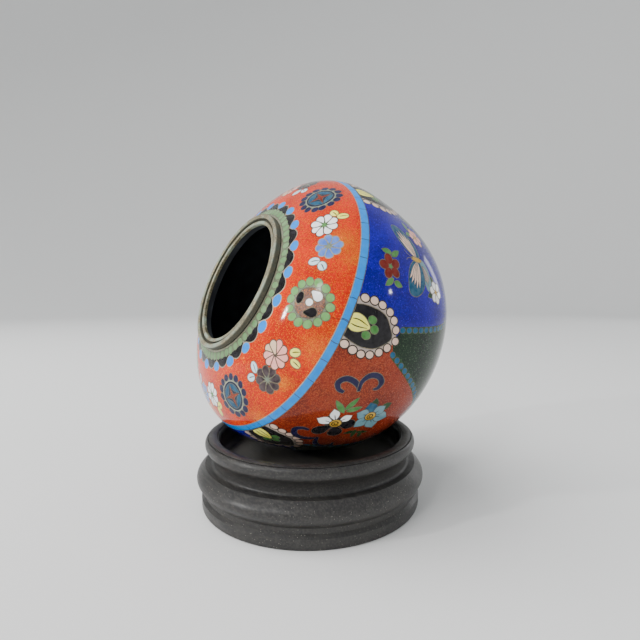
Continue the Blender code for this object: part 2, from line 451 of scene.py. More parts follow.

# %% [markdown]
# Black hardwood isn't plain black. Its pores run along the grain, handling has worn it to a greyer brown,
# and dust has settled in specks. The dish lies in the jar's shade, and it gets a thin pale film that is
# partly dust and partly painted light. One group mixes these. The material measures where the dish is and
# hands that mask to the group.

# %% Finish the stand
GRAIN_SCALE = 190.0
GRAIN_STRETCH = (1.0, 8.0, 8.0)
WEAR_SCALE = 70.0
SPECK_SCALE = 950.0
WORN_SHARE = 0.6
wood_group, given, result = new_group(
    "turned_hardwood",
    {"Colour": "Color", "Worn": "Color", "Dust And Light": "Color", "Dusted And Lit": "Float"},
    {"Colour": "Color", "Roughness": "Float", "Height": "Float"})
place = place_on_piece(wood_group)
long_place = add_node(wood_group, "Mapping", {"Vector": place, "Scale": GRAIN_STRETCH}).outputs[0]
grain = noise(wood_group, long_place, GRAIN_SCALE, 5.0)
wear = noise(wood_group, place, WEAR_SCALE, 6.0)
grained = mix_colours(wood_group, stretch(wood_group, grain, 0.42, 0.66), given["Colour"], given["Worn"])
worn_mask = multiply(wood_group, stretch(wood_group, wear, 0.50, 0.72), WORN_SHARE)
worn = mix_colours(wood_group, worn_mask, grained, given["Worn"])
speck = stretch(wood_group, spots(wood_group, place, SPECK_SCALE), 0.16, 0.06)
speck_mask = multiply(wood_group, speck, stretch(wood_group, wear, 0.42, 0.56))
# The film in the dish is partly dust and partly painted light that lifts the shaded dish.
dust_and_light_film = multiply(wood_group, given["Dusted And Lit"], stretch(wood_group, wear, 0.35, 0.65, 0.12, 0.34))
dust_and_light_mask = number_from(wood_group, "MAXIMUM", speck_mask, dust_and_light_film)
fill(wood_group, result, {"Colour": mix_colours(wood_group, dust_and_light_mask, worn, given["Dust And Light"]),
                          "Roughness": stretch(wood_group, wear, 0.3, 0.7, 0.34, 0.52),
                          "Height": grain})


def dish_dust_and_light(tree):
    """A mask for the inside of the dish, below its rim, where the film of dust and painted light lies."""
    place = place_on_piece(tree)
    height = add_node(tree, "SeparateXYZ", {"Vector": place}).outputs["Z"]
    reach = length_of(tree, vector_from(tree, "MULTIPLY", place, (1.0, 1.0, 0.0)))
    inside = stretch(tree, reach, DISH_RADIUS + 0.0008, DISH_RADIUS - 0.0002)
    return multiply(tree, inside, stretch(tree, height, STAND_HEIGHT - 0.0015, STAND_HEIGHT - 0.0045))


wood, wood_tree, wood_shader = new_material("black_hardwood")
# The dust colour also serves as painted light in the shaded dish.
out = place_group(wood_tree, wood_group, {"Colour": paint(33, 32, 32), "Worn": paint(58, 56, 53),
                                          "Dust And Light": paint(140, 136, 126), "Dusted And Lit": dish_dust_and_light(wood_tree)})
fill(wood_tree, wood_shader.inputs, {"Base Color": out["Colour"], "Roughness": out["Roughness"],
                                     "Normal": relief(wood_tree, out["Height"], 0.35, 0.00008)})
turned_piece("turned_stand", stand_outline(), STAND_STEPS, "stand", wood)

# %% [markdown]
# The body's outline is two quarter curves, the same as on the CAD part: a flat shoulder above the widest
# circle and a deeper belly below. The pattern needs to know, for any distance down the surface, how far
# out and how high it lies. A fine table of the outline answers that. Distances are in jar radii and start
# just inside the mouth.

# %% Measure along the body's outline
SHOULDER_RISE = 0.0332
SHOULDER_FULLNESS = 2.61
BELLY_DROP = 0.0537
BELLY_FULLNESS = 2.54
WALL = 0.0022
BASE_THICKNESS = 0.0026
RIM_RADIUS = 0.0277
BASE_RADIUS = 0.0286
BORE_RADIUS = 0.0244
TABLE_START = 0.40
TABLE_STEPS = 3000


def quarter_curve(greatest, rise, fullness, end_radius, count):
    """Radius and height of a rounded quarter curve, from the widest place to where the radius ends."""
    end = math.acos((end_radius / greatest) ** (fullness / 2.0))
    angles = np.linspace(0.0, end, count)
    return greatest * np.cos(angles) ** (2.0 / fullness), rise * np.sin(angles) ** (2.0 / fullness)


shoulder_part = quarter_curve(1.0, SHOULDER_RISE / JAR_RADIUS, SHOULDER_FULLNESS, TABLE_START, TABLE_STEPS)
belly_part = quarter_curve(1.0, BELLY_DROP / JAR_RADIUS, BELLY_FULLNESS, BASE_RADIUS / JAR_RADIUS,
                           TABLE_STEPS)
skin_radius = np.concatenate([shoulder_part[0][::-1], belly_part[0][1:]])
skin_height = np.concatenate([shoulder_part[1][::-1], -belly_part[1][1:]])
skin_run = np.hypot(np.diff(skin_radius), np.diff(skin_height))
skin_down = np.concatenate([[0.0], np.cumsum(skin_run)])
slope_radius = np.gradient(skin_radius, skin_down)
slope_height = np.gradient(skin_height, skin_down)
SKIN_START = float(np.interp(RIM_RADIUS / JAR_RADIUS, skin_radius[:TABLE_STEPS], skin_down[:TABLE_STEPS]))
SKIN_END = float(skin_down[-1])
SEAT_HEIGHT = float(np.interp(SKIN_START, skin_down, skin_height)) * JAR_RADIUS
BASE_HEIGHT = -BELLY_DROP * (1.0 - (BASE_RADIUS / JAR_RADIUS) ** BELLY_FULLNESS) ** (1.0 / BELLY_FULLNESS)
print("enamel runs from", round(SKIN_START, 3), "to", round(SKIN_END, 3), "jar radii down")


def skin_place(turns, downs, depth=0.0):
    """Places in the row frame, and outward directions, for turns in degrees and distances down."""
    angles = np.radians(turns)
    out = np.stack([-np.sin(angles), np.cos(angles), np.zeros(len(angles))], axis=1)
    radius = np.interp(downs, skin_down, skin_radius)[:, None]
    height = np.interp(downs, skin_down, skin_height)[:, None]
    fall = np.interp(downs, skin_down, slope_height)[:, None]
    grow = np.interp(downs, skin_down, slope_radius)[:, None]
    normal = out * -fall + np.array([0.0, 0.0, 1.0]) * grow
    normal /= np.linalg.norm(normal, axis=1)[:, None]
    local = out * radius + np.array([0.0, 0.0, 1.0]) * height - normal * depth
    turned = np.array(jar_place.to_3x3())
    return local @ turned.T * JAR_RADIUS + jar_centre, normal @ turned.T


# %% [markdown]
# Inside the enamel is the copper pot itself, which shows only through the mouth and under the foot. The
# maker coats that side with a plain dark enamel too, because bare copper on one side would warp the pot
# in the kiln. It is one turned piece that starts half a millimetre below the outer enamel.

# %% Turn the copper pot
ENAMEL_DEPTH = 0.0005
POT_CLEARANCE = 0.00005
POT_STEPS = 144
SMEAR_SCALE = 160.0


def pot_outline():
    """The pot's outline in metres, from the inside of its floor, out of the mouth and down to its base."""
    inner = JAR_RADIUS - WALL
    floor_height = BASE_HEIGHT + BASE_THICKNESS
    roof = SEAT_HEIGHT - WALL
    drop = BELLY_DROP - WALL
    rise = SHOULDER_RISE - WALL
    floor_radius = inner * (1.0 - (-floor_height / drop) ** BELLY_FULLNESS) ** (1.0 / BELLY_FULLNESS)
    roof_radius = inner * (1.0 - (roof / rise) ** SHOULDER_FULLNESS) ** (1.0 / SHOULDER_FULLNESS)
    lower = quarter_curve(inner, drop, BELLY_FULLNESS, floor_radius, 24)
    upper = quarter_curve(inner, rise, SHOULDER_FULLNESS, roof_radius, 20)
    inside = [(0.0, floor_height)] + list(zip(lower[0][::-1], -lower[1][::-1])) + list(zip(*upper))[1:]
    mouth = [(BORE_RADIUS, roof), (BORE_RADIUS, SEAT_HEIGHT)]
    downs = np.linspace(SKIN_START, SKIN_END, 60)
    out = np.interp(downs, skin_down, skin_radius)
    height = np.interp(downs, skin_down, skin_height)
    fall = -np.interp(downs, skin_down, slope_height)
    grow = np.interp(downs, skin_down, slope_radius)
    sunk = (ENAMEL_DEPTH + POT_CLEARANCE) / JAR_RADIUS
    outside = list(zip((out - fall * sunk) * JAR_RADIUS, (height - grow * sunk) * JAR_RADIUS))
    return inside + mouth + outside + [(outside[-1][0], BASE_HEIGHT), (0.0, BASE_HEIGHT)]


counter, counter_tree, counter_shader = new_material("dark_counter_enamel")
smear = noise(counter_tree, place_on_piece(counter_tree), SMEAR_SCALE, 5.0)
smear = stretch(counter_tree, smear, 0.35, 0.70)
tone = mix_colours(counter_tree, smear, paint(30, 32, 36), paint(54, 58, 64))
fill(counter_tree, counter_shader.inputs,
     {"Base Color": tone, "Roughness": stretch(counter_tree, smear, 0.0, 1.0, 0.42, 0.62)})
turned_piece("copper_pot", pot_outline(), POT_STEPS, "jar_body", counter, jar_place)

# %% [markdown]
# Enamel is glass. Its colour sits under a clear, smooth surface, so every enamel here has a coat, and the
# colour below it varies a little: the powder was laid in by hand, and firing leaves pinholes that hold
# dirt. One group gives that life to every opaque enamel. Noise drifts the colour, and small cells that
# come close to their own middle make the pinholes.

# %% Group: opaque enamel
CLOUD_SCALE = 420.0
PINHOLE_SCALE = 700.0
PINHOLE_DIRT = (0.03, 0.025, 0.02, 1.0)
COAT_WEIGHT = 0.9
COAT_ROUGHNESS = 0.08
COAT_IOR = 1.30
SHEEN_OFF_GLASS = 0.02

enamel_group, given, result = new_group(
    "opaque_enamel",
    {"Colour": "Color", "Cloud Colour": "Color", "Cloudiness": "Float", "Pinholes": "Float"},
    {"Colour": "Color", "Roughness": "Float", "Height": "Float"})
place = place_on_piece(enamel_group)
cloud = noise(enamel_group, place, CLOUD_SCALE, 4.0)
cloud_mask = multiply(enamel_group, stretch(enamel_group, cloud, 0.35, 0.70), given["Cloudiness"])
clouded = mix_colours(enamel_group, cloud_mask, given["Colour"], given["Cloud Colour"])
hole = stretch(enamel_group, spots(enamel_group, place, PINHOLE_SCALE), 0.10, 0.05)
hole_mask = multiply(enamel_group, hole, given["Pinholes"])
fill(enamel_group, result, {"Colour": mix_colours(enamel_group, hole_mask, clouded, PINHOLE_DIRT),
                            "Roughness": stretch(enamel_group, cloud, 0.3, 0.7, 0.22, 0.36),
                            "Height": stretch(enamel_group, hole_mask, 0.0, 1.0, 1.0, 0.0)})


def glaze(tree, shader):
    """Gives a shader the clear polished glass on top of the colour."""
    fill(tree, shader.inputs, {"Coat Weight": COAT_WEIGHT, "Coat Roughness": COAT_ROUGHNESS,
                               "Coat IOR": COAT_IOR, "Specular IOR Level": SHEEN_OFF_GLASS})


def opaque_enamel(name, colour, cloud_colour, cloudiness=0.5, pinholes=0.4):
    """An opaque enamel: clouded colour with pinholes under a clear polished coat."""
    material, tree, shader = new_material("enamel_" + name)
    out = place_group(tree, enamel_group, {"Colour": paint(*colour), "Cloud Colour": paint(*cloud_colour),
                                           "Cloudiness": cloudiness, "Pinholes": pinholes})
    fill(tree, shader.inputs, {"Base Color": out["Colour"], "Roughness": out["Roughness"],
                               "Normal": relief(tree, out["Height"], 0.25, 0.00004)})
    glaze(tree, shader)
    return material


# %% [markdown]
# The palette is long, as it is on the real jar. Each row is an enamel's colour, the colour that it clouds
# towards, how cloudy it is and how many pinholes show.

# %% Mix the opaque enamels
ENAMELS = {
    "black": ((18, 17, 19), (56, 53, 58)),
    "bead_green": ((106, 146, 96), (148, 174, 134)),
    "medallion_green": ((104, 162, 88), (156, 196, 140)),
    "sky_blue": ((2, 136, 240), (36, 162, 244), 0.4),
    "band_blue": ((2, 133, 228), (28, 154, 236), 0.6),
    "white": ((255, 255, 254), (246, 247, 247), 0.3, 0.2),
    "pale_blue": ((222, 246, 255), (182, 218, 238), 0.6),
    "flower_blue": ((78, 116, 206), (126, 160, 222), 0.6),
    "pink": ((255, 172, 160), (254, 204, 188), 0.6),
    "apricot": ((240, 200, 160), (240, 216, 190), 0.6),
    "aubergine": ((46, 34, 40), (116, 102, 104), 0.6),
    "yellow": ((255, 250, 96), (255, 253, 158), 0.6),
    "ochre": ((196, 150, 44), (222, 190, 100), 0.6),
    "leaf_green": ((62, 124, 54), (116, 164, 104), 0.6),
    "dark_leaf": ((28, 60, 30), (56, 92, 52), 0.6),
    "navy": ((22, 20, 58), (50, 48, 86), 0.6),
    "dark_navy": ((22, 34, 54), (40, 58, 80), 0.6),
    "teal": ((12, 70, 104), (64, 118, 138), 0.6),
    "smoke_blue": ((120, 158, 168), (84, 126, 142), 0.7),
    "brick_red": ((108, 26, 18), (140, 58, 46), 0.6),
    "rose": ((238, 208, 188), (214, 182, 164), 0.6),
    "rose_grey": ((184, 168, 158), (150, 138, 130), 0.6),
    "turquoise": ((14, 76, 112), (54, 120, 148), 0.5),
    "flux_grey": ((128, 142, 122), (98, 108, 94), 0.7),
    "grimy_green": ((120, 132, 106), (88, 96, 78), 0.7),
    "crack": ((84, 44, 34), (60, 34, 28), 0.5, 0.0),
}
finishes = {name: opaque_enamel(name, *recipe) for name, recipe in ENAMELS.items()}
print("opaque enamels:", len(finishes))

# %% [markdown]
# The orange ground sparkles. Bits of copper foil lie in the clear glass at every angle, and each throws the
# light its own way, so the shine breaks up into points. Voronoi cells a fifth of a millimetre wide stand
# for the flakes. Each cell has a random colour, which serves three times: it picks the cells that hold a
# flake, it tints them, and it tips their normal. In soft patches more cells hold a flake and the ground is
# tinted golden. On the orange ground these patches are painted glints, laid where the lamps glint in the
# foil; on the other grounds a few lie at random. The smooth coat above keeps its own normal.

# %% Group: goldstone flakes
GLINT_MASK = "gold_banks"
DRIFT_SCALE = 90.0
POWDER_SCALE = 1500.0
FLAKE_SCALE = 4600.0
GOLD_AND_GLINT_SCALE = 38.0
MIDDLE_GREY = (0.5, 0.5, 0.5)

flake_group, given, result = new_group(
    "goldstone_flakes",
    {"Colour": "Color", "Deep Colour": "Color", "Flake Colour": "Color", "Flakes": "Float", "Tip": "Float",
     "Gold And Glint": "Float"},
    {"Colour": "Color", "Flake Mask": "Float", "Roughness": "Float", "Normal": "Vector"})
place = place_on_piece(flake_group)
flake = add_node(flake_group, "TexVoronoi", {"Vector": place, "Scale": FLAKE_SCALE}).outputs["Color"]
split = add_node(flake_group, "SeparateColor", {"Color": flake}).outputs
# Patches with more flakes and a golden tint; on the orange ground a mask makes them painted glints.
bank = stretch(flake_group, noise(flake_group, place, GOLD_AND_GLINT_SCALE, 2.0), 0.30, 0.60)
bank = multiply(flake_group, bank, given["Gold And Glint"])
share = number_from(flake_group, "ADD", bank, given["Flakes"])
keep = number_from(flake_group, "SUBTRACT", 1.0, share)
flake_mask = number_from(flake_group, "GREATER_THAN", split["Red"], keep)
powder = number_from(flake_group, "ADD", noise(flake_group, place, DRIFT_SCALE, 3.0),
                     noise(flake_group, place, POWDER_SCALE, 2.0))
powder = stretch(flake_group, powder, 0.85, 1.2)
ground = mix_colours(flake_group, powder, given["Deep Colour"], given["Colour"])
ground = mix_colours(flake_group, multiply(flake_group, bank, 0.5), ground, given["Flake Colour"])
shade = multiply(flake_group, flake_mask, stretch(flake_group, split["Green"], 0.0, 1.0, 0.25, 1.0))
tip = vector_from(flake_group, "SUBTRACT", flake, MIDDLE_GREY)
tip_amount = multiply(flake_group, flake_mask, given["Tip"])
tip = add_node(flake_group, "VectorMath", {0: tip, "Scale": tip_amount}, operation="SCALE").outputs[0]
upright = add_node(flake_group, "NewGeometry").outputs["Normal"]
tipped = vector_from(flake_group, "NORMALIZE", vector_from(flake_group, "ADD", upright, tip))
fill(flake_group, result, {"Colour": mix_colours(flake_group, shade, ground, given["Flake Colour"]),
                           "Flake Mask": flake_mask,
                           "Roughness": stretch(flake_group, flake_mask, 0.0, 1.0, 0.5, 0.28),
                           "Normal": tipped})


print("goldstone group:", len(flake_group.nodes), "nodes")

# %% [markdown]
# Five grounds are goldstone. Foil shows strongly in the orange one and hardly at all in the cobalt and the
# green, where it is only a faint glitter. Each row gives the colour, the deeper colour, the colour of the
# flakes, how many there are, how far they tip, how metallic they are, and how golden; for the orange ground
# that last is the mask of painted glints.

# %% Mix the goldstone enamels


def gold_banks(tree):
    """The mask of painted glints, which is stored in the enamel's mesh."""
    return add_node(tree, "Attribute", attribute_name=GLINT_MASK).outputs["Fac"]


def goldstone(name, colour, deep, flakes, share, tip, metal, gold=0.0):
    """A clear enamel over copper flakes; the gold and glint patches may be a number or a mask of painted
    glints.
    """
    material, tree, shader = new_material("goldstone_" + name)
    out = place_group(tree, flake_group, {"Colour": paint(*colour), "Deep Colour": paint(*deep),
                                          "Flake Colour": paint(*flakes), "Flakes": share, "Tip": tip,
                                          "Gold And Glint": gold(tree) if callable(gold) else gold})
    fill(tree, shader.inputs, {"Base Color": out["Colour"], "Roughness": out["Roughness"],
                               "Metallic": multiply(tree, out["Flake Mask"], metal),
                               "Normal": out["Normal"]})
    glaze(tree, shader)
    return material


GOLDSTONES = {
    # The orange ground's gold comes from the mask of painted glints.
    "red_ground": ((226, 50, 12), (190, 34, 10), (255, 150, 24), 0.16, 1.0, 0.55, gold_banks),
    # The panels' red is their own deeper red, painted darker still as shade of the lower belly; the navy
    # medallions' stars use it too.
    "low_red_ground": ((138, 42, 24), (104, 31, 19), (186, 86, 44), 0.15, 1.0, 0.5, 0.25),
    "cobalt_ground": ((28, 0, 172), (18, 0, 122), (60, 20, 240), 0.05, 0.5, 0.3),
    "green_ground": ((20, 46, 26), (10, 30, 18), (78, 106, 72), 0.08, 0.5, 0.4),
    "brown_ground": ((140, 110, 100), (98, 78, 74), (250, 150, 70), 0.10, 1.0, 0.8, 0.15),
}
for name, recipe in GOLDSTONES.items():
    finishes[name] = goldstone(name, *recipe)
print("goldstone enamels ready, finishes:", len(finishes))

# %% [markdown]
# The wires are strips of copper standing on edge. Polishing bares their tops, which dull to a grey-green
# over the years. The same group does for the wires, the mouth rim and the foot: patches of verdigris over
# worn metal, with fine scratches.

# %% Group: old metal
PATCH_SCALE = 260.0
SCRATCH_SCALE = 1600.0
DARKENED_COLOUR = (0.035, 0.032, 0.026, 1.0)

metal_group, given, result = new_group(
    "old_metal",
    {"Bare": "Color", "Dull": "Color", "Verdigris": "Color", "Patches": "Float", "Darkening": "Float"},
    {"Colour": "Color", "Metal Mask": "Float", "Roughness": "Float", "Height": "Float"})
place = place_on_piece(metal_group)
scratch = noise(metal_group, place, SCRATCH_SCALE, 3.0)
bare = mix_colours(metal_group, stretch(metal_group, scratch, 0.35, 0.65), given["Bare"], given["Dull"])
patch = stretch(metal_group, noise(metal_group, place, PATCH_SCALE, 5.0), 0.46, 0.62)
patch_mask = multiply(metal_group, patch, given["Patches"])
aged = mix_colours(metal_group, patch_mask, bare, given["Verdigris"])
# A given mask darkens the metal and dulls it.
dulled = number_from(metal_group, "MAXIMUM", patch_mask, given["Darkening"])
fill(metal_group, result, {"Colour": mix_colours(metal_group, given["Darkening"], aged, DARKENED_COLOUR),
                           "Metal Mask": stretch(metal_group, dulled, 0.0, 1.0, 0.75, 0.05),
                           "Roughness": stretch(metal_group, dulled, 0.0, 1.0, 0.34, 0.75),
                           "Height": scratch})


def old_metal(name, bare, dull, verdigris, patches, darkening=0.0):
    """Copper or brass that has aged; its darkening may be a number or a mask."""
    material, tree, shader = new_material(name)
    out = place_group(tree, metal_group, {"Bare": paint(*bare), "Dull": paint(*dull), "Patches": patches,
                                          "Verdigris": paint(*verdigris),
                                          "Darkening": darkening(tree) if callable(darkening) else darkening})
    fill(tree, shader.inputs, {"Base Color": out["Colour"], "Metallic": out["Metal Mask"],
                               "Roughness": out["Roughness"],
                               "Normal": relief(tree, out["Height"], 0.4, 0.00005)})
    return material


# Each row gives the bare metal, the dull metal, the verdigris, and how much is patched.
WIRES = {
    "wire": ((134, 122, 98), (84, 80, 70), (78, 88, 74), 0.5),
    "dark_wire": ((104, 90, 68), (60, 54, 46), (56, 62, 52), 0.5),
    "cream_wire": ((192, 186, 158), (156, 154, 134), (138, 146, 128), 0.6),
    "black_wire": ((52, 44, 36), (30, 26, 23), (36, 40, 35), 0.4),
}
for name, recipe in WIRES.items():
    finishes[name] = old_metal(name, *recipe)
print("metals ready, finishes:", len(finishes))

# %% [markdown]
# Two metal rings finish the jar's edges. The mouth has a narrow lip that a lid would have sat on, a groove,
# and a rounded outer ring. The foot is a plain band. Both were spun from brass, and handling and damp have
# turned them a dull grey-green.

# %% Turn the mouth rim and the foot ring
MOUTH_RADIUS = 0.0236
LIP_WIDTH = 0.0014
LIP_RISE = 0.0013
LIP_EASE = 0.00035
GROOVE_WIDTH = 0.0008
GROOVE_RISE = 0.0005
RING_RISE = 0.0020
RING_ROUNDING = 0.0006
FOOT_RADIUS = 0.0294
FOOT_WIDTH = 0.0025
FOOT_HEIGHT = 0.0040
FOOT_EASE = 0.0004
GAP = 0.0003
RING_STEPS = 180


def mouth_rim_outline():
    """Closed outline of the mouth rim: lip, groove, rounded outer ring, seat."""
    seat = SEAT_HEIGHT + GAP
    lip_edge = MOUTH_RADIUS + LIP_WIDTH
    groove_edge = lip_edge + GROOVE_WIDTH
    lip_round = seat + LIP_RISE - LIP_EASE
    ring_round = seat + RING_RISE - RING_ROUNDING
    lip = arc((MOUTH_RADIUS + LIP_EASE, lip_round), LIP_EASE, 180, 90, 4)
    lip += arc((lip_edge - LIP_EASE, lip_round), LIP_EASE, 90, 0, 4)
    groove = [(lip_edge, seat + GROOVE_RISE), (groove_edge, seat + GROOVE_RISE)]
    ring = arc((groove_edge + RING_ROUNDING, ring_round), RING_ROUNDING, 180, 90, 6)
    ring += arc((RIM_RADIUS - RING_ROUNDING, ring_round), RING_ROUNDING, 90, 0, 6)
    return lip + groove + ring + [(RIM_RADIUS, seat), (MOUTH_RADIUS, seat)]


def foot_ring_outline():
    """Closed outline of the foot ring, its lower edges eased."""
    top = BASE_HEIGHT - GAP
    bottom = top - FOOT_HEIGHT
    inner = FOOT_RADIUS - FOOT_WIDTH
    outside = arc((FOOT_RADIUS - FOOT_EASE, bottom + FOOT_EASE), FOOT_EASE, 0, -90, 4)
    inside = arc((inner + FOOT_EASE, bottom + FOOT_EASE), FOOT_EASE, -90, -180, 4)
    return [(FOOT_RADIUS, top)] + outside + inside + [(inner, top)]


print("outline of the mouth rim:", len(mouth_rim_outline()), "points")

# %% [markdown]
# The rim is coloured darker in its groove, at the joint with the enamel and on its outer side. All of these
# are circles, so a mask of the distance from the jar's axis finds them. It is measured with a cross
# product, which works for a tipped axis too.

# %% Finish the mouth rim and the foot ring
DARKENING_SHARE = 0.85
LIP_INNER_WIDTH = 0.0011
SHELF_START = 0.0022
MASK_SOFTNESS = 0.0003


def axis_distance(tree):
    """How far a place is from the jar's axis, in metres."""
    from_centre = vector_from(tree, "SUBTRACT", place_on_piece(tree), tuple(jar_centre))
    return length_of(tree, vector_from(tree, "CROSS_PRODUCT", from_centre, tuple(axis)))


def rim_darkening(tree):
    """A mask that darkens the groove, the joint with the enamel and the rim's outer side."""
    far = axis_distance(tree)
    shelf_edge = MOUTH_RADIUS + LIP_WIDTH + GROOVE_WIDTH + MASK_SOFTNESS
    lip = stretch(tree, far, MOUTH_RADIUS + LIP_INNER_WIDTH, MOUTH_RADIUS + LIP_WIDTH)
    shelf = stretch(tree, far, shelf_edge, MOUTH_RADIUS + SHELF_START)
    outer_side = stretch(tree, far, RIM_RADIUS - MASK_SOFTNESS, RIM_RADIUS)
    dark = number_from(tree, "MAXIMUM", multiply(tree, lip, shelf), outer_side)
    return multiply(tree, dark, DARKENING_SHARE)


# The rim is darker in its groove and on its outer side, by the mask above.
rim_metal = old_metal("worn_rim_brass", (196, 182, 146), (132, 130, 108), (150, 164, 148), 0.85, rim_darkening)
foot_metal = old_metal("worn_foot_brass", (150, 138, 106), (98, 94, 76), (104, 120, 100), 0.6)
turned_piece("spun_mouth_rim", mouth_rim_outline(), RING_STEPS, "mouth_rim", rim_metal, jar_place, True)
turned_piece("spun_foot_ring", foot_ring_outline(), RING_STEPS, "foot_ring", foot_metal, jar_place, True)

# %% [markdown]
# Now the heart of the jar: the skin of enamel. Every cell is an outline on the jar, given as degrees of
# turn around the axis and distance down the surface. Cells are laid one over another like paper cut-outs,
# first the large grounds and last the smallest dots. Blender's Delaunay triangulation then cuts one flat
# net along all of these outlines and says which of them cover each triangle. The last one laid is the
# enamel that shows, and the net is wrapped round the jar. The pattern repeats three times around. A small
# random wobble, the same on every run, gives each cell the unevenness of hand work. The wires come in
# several gauges, given in jar radii.

# %% Choose the wires' gauges and the repeat
HAIR_WIRE = 0.002
THREAD_WIRE = 0.003
FEATHER_WIRE = 0.0035
THIN_WIRE = 0.004
FINE_WIRE = 0.0045
SLIM_WIRE = 0.005
WIRE = 0.0052
FIRM_WIRE = 0.006
PETAL_WIRE = 0.0065
STOUT_WIRE = 0.007
BEAD_WIRE = 0.0075
SEAM = -169.0
RING_PITCH = 1.5
REPEAT_TURN = 120.0
REPEATS = [(number, REPEAT_TURN * number) for number in range(3)]
cells = []
hand = random.Random(11)
print("thinnest and thickest wire, mm:", round(HAIR_WIRE * JAR_RADIUS * 1000, 2),
      round(BEAD_WIRE * JAR_RADIUS * 1000, 2))

# %% [markdown]
# A cell is laid through a few steps. Its outline is drawn flat, grown by the width of the wire, wrapped to
# turns and distances, and put on the pile. The wire's outline goes first and the enamel's goes over it, so
# a rim of wire is left all round.

# %% Helpers that lay cells on the skin


def radius_at(down):
    """How far the skin is from the axis, in jar radii, at a distance down."""
    return np.interp(down, skin_down, skin_radius)


def around(points, turn, down):
    """Lays a flat motif, in jar radii, on the jar at a turn and a distance down."""
    points = np.asarray(points)
    lower = down - points[:, 1]
    return np.stack([turn + np.degrees(points[:, 0] / radius_at(lower)), lower], axis=1)


def flat(points, turn, down):
    """The other way round: turns and downs as a flat motif about one place."""
    points = np.asarray(points, float)
    x = np.radians(points[:, 0] - turn) * radius_at(points[:, 1])
    return np.stack([x, down - points[:, 1]], axis=1)


def grown(points, margin):
    """A closed outline pushed outwards by a margin."""
    points = np.asarray(points)
    following = np.roll(points, -1, axis=0)
    along = following - np.roll(points, 1, axis=0)
    out = np.stack([along[:, 1], -along[:, 0]], axis=1)
    out /= np.linalg.norm(out, axis=1)[:, None] + 1e-9
    area = np.sum(points[:, 0] * following[:, 1] - points[:, 1] * following[:, 0])
    return points + out * margin * (1.0 if area > 0.0 else -1.0)


def lay(outline, finish, piece):
    """Lays one outline of turns and downs on the skin."""
    cells.append((np.asarray(outline, float), finish, piece))


def motif(parts, piece, turn, down, wire=WIRE, metal="wire"):
    """Lays the wires of several flat shapes, then the enamels inside them; parts are (points, finish)."""
    if wire:
        for points, _ in parts:
            lay(around(grown(points, wire), turn, down), metal, piece)
    for points, finish in parts:
        lay(around(points, turn, down), finish, piece)


def ring_zone(first, last, finish, piece):
    """Lays a ground all round the jar between two distances down."""
    turns = np.arange(SEAM, SEAM + 360.5, RING_PITCH)
    top = np.stack([turns, np.full(len(turns), first)], axis=1)
    bottom = np.stack([turns[::-1], np.full(len(turns), last)], axis=1)
    lay(np.concatenate([top, bottom]), finish, piece)


print("at the widest place, one degree is", round(math.radians(JAR_RADIUS * 1000), 2), "mm")

# %% [markdown]
# The shapes themselves are drawn flat, as a maker draws them on paper: ovals, drops, stars, pointed leaves
# and bands along a curve. A drawn shape is a list of points in jar radii, so it can be turned, moved and
# pushed outwards before it is laid on the jar.

# %% Helpers that draw shapes


def placed(points, x, y, turned=0.0):
    """A shape turned about the origin, counter-clockwise in degrees, then moved."""
    angle = math.radians(turned)
    points = np.asarray(points)
    across = points[:, 0] * math.cos(angle) - points[:, 1] * math.sin(angle) + x
    up = points[:, 0] * math.sin(angle) + points[:, 1] * math.cos(angle) + y
    return np.stack([across, up], axis=1)


def turned_about(points, turned):
    """A shape turned about the origin, counter-clockwise in degrees."""
    return placed(points, 0.0, 0.0, turned)


def oval(width, height, count=16):
    """An oval about the origin."""
    angles = np.linspace(0.0, 2.0 * math.pi, count, endpoint=False)
    return np.stack([width / 2.0 * np.cos(angles), height / 2.0 * np.sin(angles)], axis=1)


def petal(length, width, count=13):
    """A petal that stands on its narrow end at the origin and widens to a round cap."""
    angles = np.radians(np.linspace(-28.0, 208.0, count))
    cap = np.stack([np.cos(angles), np.sin(angles)], axis=1) * width / 2.0
    cap[:, 1] += length - width / 2.0
    foot = np.array([[-0.10 * width, 0.04 * length], [0.10 * width, 0.04 * length]])
    return np.concatenate([foot, cap])


def star(points, reach, waist, turned=0.0):
    """A thin-armed star about the origin; it is turned counter-clockwise, in degrees, from upright."""
    angles = np.radians(90.0 + turned + np.arange(2 * points) * 180.0 / points)
    lengths = np.where(np.arange(2 * points) % 2 == 0, reach, waist)
    return np.stack([lengths * np.cos(angles), lengths * np.sin(angles)], axis=1)


def leaf(length, width, count=8):
    """A leaf that stands on one of its two points."""
    share = np.linspace(0.0, 1.0, count)
    bulge = width / 2.0 * np.sin(math.pi * share ** 0.85)
    right = np.stack([bulge, length * share], axis=1)
    left = np.stack([-bulge, length * share], axis=1)[::-1]
    return np.concatenate([right, left[1:-1]])


def lotus(length, width):
    """A petal with a drawn-out point, broadest just above its middle."""
    right = np.array([(0.10, 0.0), (0.30, 0.16), (0.46, 0.36), (0.50, 0.54), (0.40, 0.70), (0.22, 0.83),
                      (0.09, 0.92)])
    left = right[::-1] * np.array([-1.0, 1.0])
    outline = np.concatenate([right, [(0.0, 1.0)], left])
    return outline * np.array([width, length])


print("corners of a petal and of a leaf:", len(petal(1.0, 0.5)), len(leaf(1.0, 0.3)))

# %% [markdown]
# Freely curved outlines are given by a few points, and a spline makes them smooth. A ribbon is a band
# along such a curve, for scrolls, veins and feelers. `between` draws a petal from one place on the jar to
# another, which is how petals are read off a real jar.

# %% Helpers that draw curves


